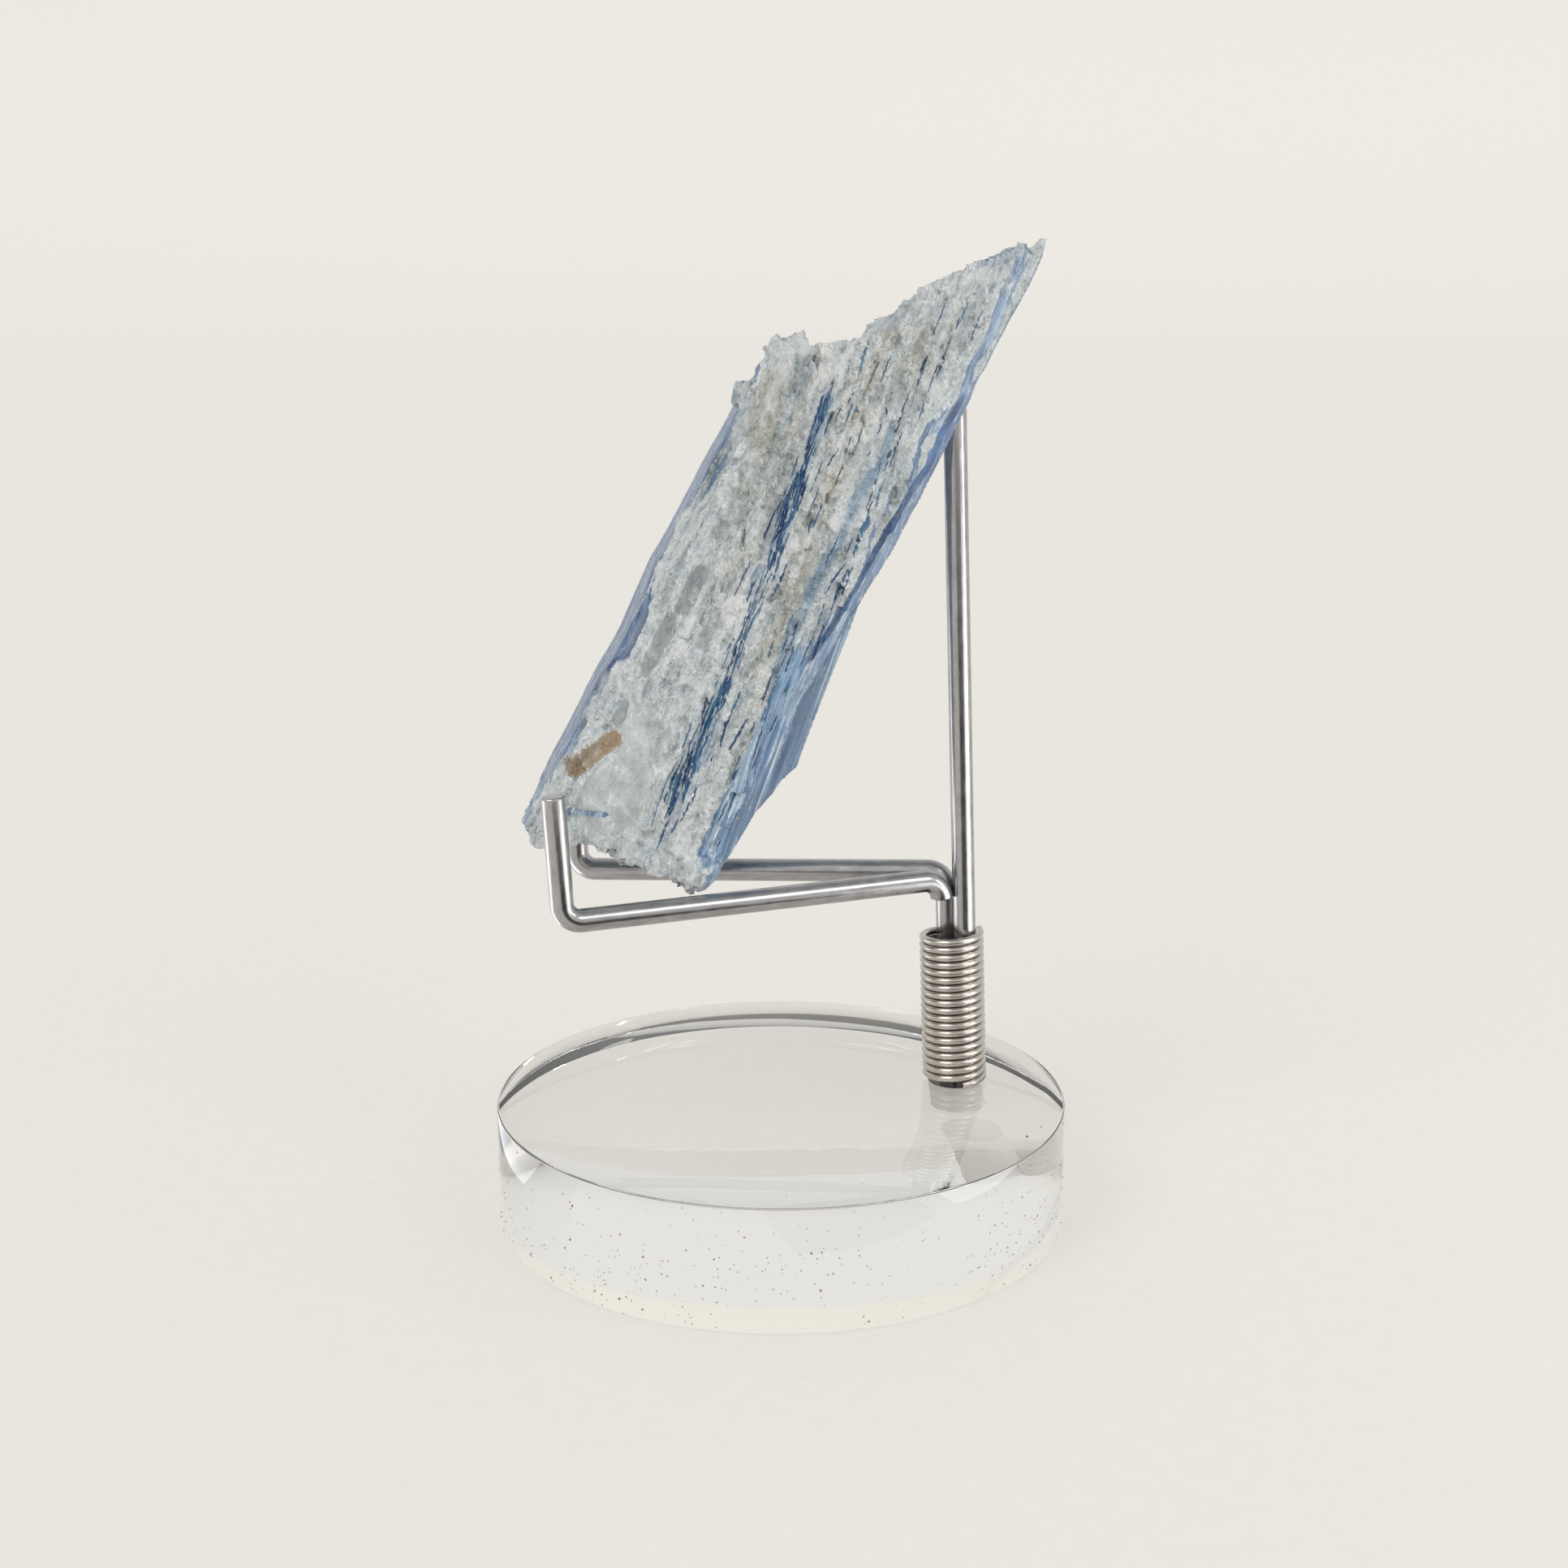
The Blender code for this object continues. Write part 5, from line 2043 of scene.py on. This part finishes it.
@dataclass(frozen=True)
class Card:
    """A card laid by the set that shows only in the polish of the wire.

    It spans two angles from the camera, right positive, and two distances
    from the middle, in millimetres.
    """

    name: str
    beside: tuple[float, float]
    reach: tuple[float, float]
    paint: CardPaint
    middle: tuple[float, float, float] = (0.0, 20.0, 0.6)

    def build(self, azimuth: float) -> bpy.types.Object:
        """Lay the card down.

        Args:
            azimuth: The camera's place round the object, in degrees.

        Returns:
            The card.
        """
        drop_selection()
        bpy.ops.mesh.primitive_plane_add(size=2.0)
        card = bpy.context.object
        spread = math.tan(math.radians(self.beside[1] - self.beside[0]) / 2)
        bpy.ops.object.mode_set(mode="EDIT")
        bpy.ops.mesh.select_mode(type="EDGE")
        for side, distance in ((-1, self.reach[0] * MM), (1, self.reach[1] * MM)):
            select_edges(lambda edge: all(vertex.co.y * side > 0.5 for vertex in edge.verts))
            bpy.ops.transform.resize(value=(spread * distance, 1, 1), center_override=(0, side, 0))
        bpy.ops.mesh.select_all(action="SELECT")
        middle, half = (sum(self.reach) / 2 * MM, (self.reach[1] - self.reach[0]) / 2 * MM)
        bpy.ops.transform.resize(value=(1, half, 1), center_override=(0, 0, 0))
        bpy.ops.transform.translate(value=(0, middle, 0))
        bpy.ops.object.mode_set(mode="OBJECT")
        card.rotation_euler.z = math.radians(azimuth + sum(self.beside) / 2 + 180)
        card.location = Vector(self.middle) * MM
        settle(card)
        card.name = card.data.name = self.name
        dress(card, (self.paint.build(),))
        card.visible_camera = card.visible_diffuse = card.visible_transmission = False
        card.visible_volume_scatter = card.visible_shadow = False
        return card


@dataclass
class Studio:
    """Pale sweep, soft light and the camera."""

    eye: tuple[float, float, float] = (259.86, -55.34, 118.17)
    azimuth: float = 77.9
    pitch: float = -13.492
    lens: float = 52.17
    sweep_radius: float = 3000.0 * MM
    sweep_rise: float = 480.0 * MM
    sky: float = 0.8
    # Brightness of the air at the sine of its height: level, mid, high, overhead.
    air: tuple[tuple[float, float], ...] = ((0.1, 1.0), (0.5, 1.0), (0.8, 0.74), (0.95, 0.5))
    flat_share: float = 0.8
    floor_gap: float = 0.04 * MM

    def camera(self) -> bpy.types.Object:
        """Set up the camera.

        Returns:
            The camera.
        """
        data = bpy.data.cameras.new("view")
        data.lens = self.lens
        data.sensor_width = 36.0
        data.clip_start = 0.01
        camera = bpy.data.objects.new("view", data)
        camera.location = Vector(self.eye) * MM
        camera.rotation_euler = (math.radians(90 + self.pitch), 0, math.radians(self.azimuth))
        bpy.context.scene.collection.objects.link(camera)
        bpy.context.scene.camera = camera
        return camera

    def sweep(self) -> bpy.types.Object:
        """Round paper floor that curves up into a wall.

        Returns:
            The sweep.
        """
        drop_selection()
        bpy.ops.mesh.primitive_circle_add(
            vertices=96, radius=self.sweep_radius * self.flat_share, fill_type="NGON",
            location=(0, 0, -self.floor_gap),
        )
        sweep = bpy.context.object
        settle(sweep)
        bpy.ops.object.mode_set(mode="EDIT")
        bpy.ops.mesh.select_mode(type="EDGE")
        bpy.ops.mesh.select_all(action="SELECT")
        steps = 12
        select_edges(lambda edge: True)
        reach = self.flat_share
        for step in range(1, steps + 1):
            share = math.pi / 2 * step / steps
            grown = self.flat_share + (1 - self.flat_share) * math.sin(share)
            rise = self.sweep_rise * (math.cos(share - math.pi / 2 / steps) - math.cos(share))
            bpy.ops.mesh.extrude_edges_move(TRANSFORM_OT_translate={"value": (0, 0, rise)})
            scale = grown / reach
            bpy.ops.transform.resize(value=(scale, scale, 1), center_override=(0, 0, 0))
            reach = grown
        bpy.ops.object.mode_set(mode="OBJECT")
        sweep.name = sweep.data.name = "paper_sweep"
        smooth(sweep, 60)
        dress(sweep, (PalePaper().build(),))
        return sweep

    def light(self) -> None:
        """Fill the studio with even light and hang the soft boxes."""
        world = bpy.data.worlds.new("studio_air")
        bpy.context.scene.world = world
        world.use_nodes = True
        tree = world.node_tree
        air = tree.nodes["Background"]
        air.inputs["Strength"].default_value = self.sky
        facing = tree.nodes.new("ShaderNodeTexCoord")
        height = tree.nodes.new("ShaderNodeSeparateXYZ")
        tone = tree.nodes.new("ShaderNodeValToRGB")
        keys = tone.color_ramp.elements
        keys.new(0.5)
        keys.new(0.5)
        for key, (where, level) in zip(keys, self.air):
            key.position = where
            key.color = (level, level * 0.995, level * 0.985, 1.0)
        tree.links.new(facing.outputs["Generated"], height.inputs[0])
        tree.links.new(height.outputs["Z"], tone.inputs["Fac"])
        tree.links.new(tone.outputs["Color"], air.inputs["Color"])
        for box in (
            SoftBox("side_strip", (150, 250, 60), (0, 15, 70), (20, 200), 0.16),
        ):
            box.build()
        for window in (
            Window("left_window", -42, 42, 30, 0.8, (1.0, 0.985, 0.965)),
            Window("right_window", 48, 36, 22, 0.34, (1.0, 0.99, 0.98)),
        ):
            window.build(self.azimuth)
        felt = CardPaint("black_felt", srgb(24, 24, 26), srgb(52, 51, 50), 0.0)
        foam = CardPaint("white_foam", srgb(232, 234, 238), srgb(255, 255, 255), 2.0)
        for card in (
            Card("dark_card", (-14, 34), (60, 700), felt), Card("right_card", (42, 84), (60, 700), foam),
            Card("left_card", (-112, -84), (70, 700), foam),
        ):
            card.build(self.azimuth)

    def build(self) -> None:
        """Set up camera, sweep and light, with plain display colours."""
        bpy.context.scene.view_settings.view_transform = "Standard"
        self.camera()
        self.sweep()
        self.light()


def report(piece: bpy.types.Object) -> None:
    """Log a piece's name and triangle count."""
    piece.data.calc_loop_triangles()
    LOG.info("%s: %d triangles", piece.name, len(piece.data.loop_triangles))


def main() -> None:
    """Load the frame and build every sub-assembly."""
    logging.basicConfig(level=logging.INFO, format="%(message)s")
    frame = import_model()
    disc = DiscBase()
    bundle = RodBundle(disc)
    report(disc.build())
    report(DustOnDisc(disc).build())
    report(WoundCollar(bundle).build())
    for piece in WireEasel(bundle).build():
        report(piece)
    report(KyaniteSpecimen().build(frame["nodes"]["kyanite_blade_specimen"]))
    Studio().build()
    drop_selection()


if __name__ == "__main__":
    main()
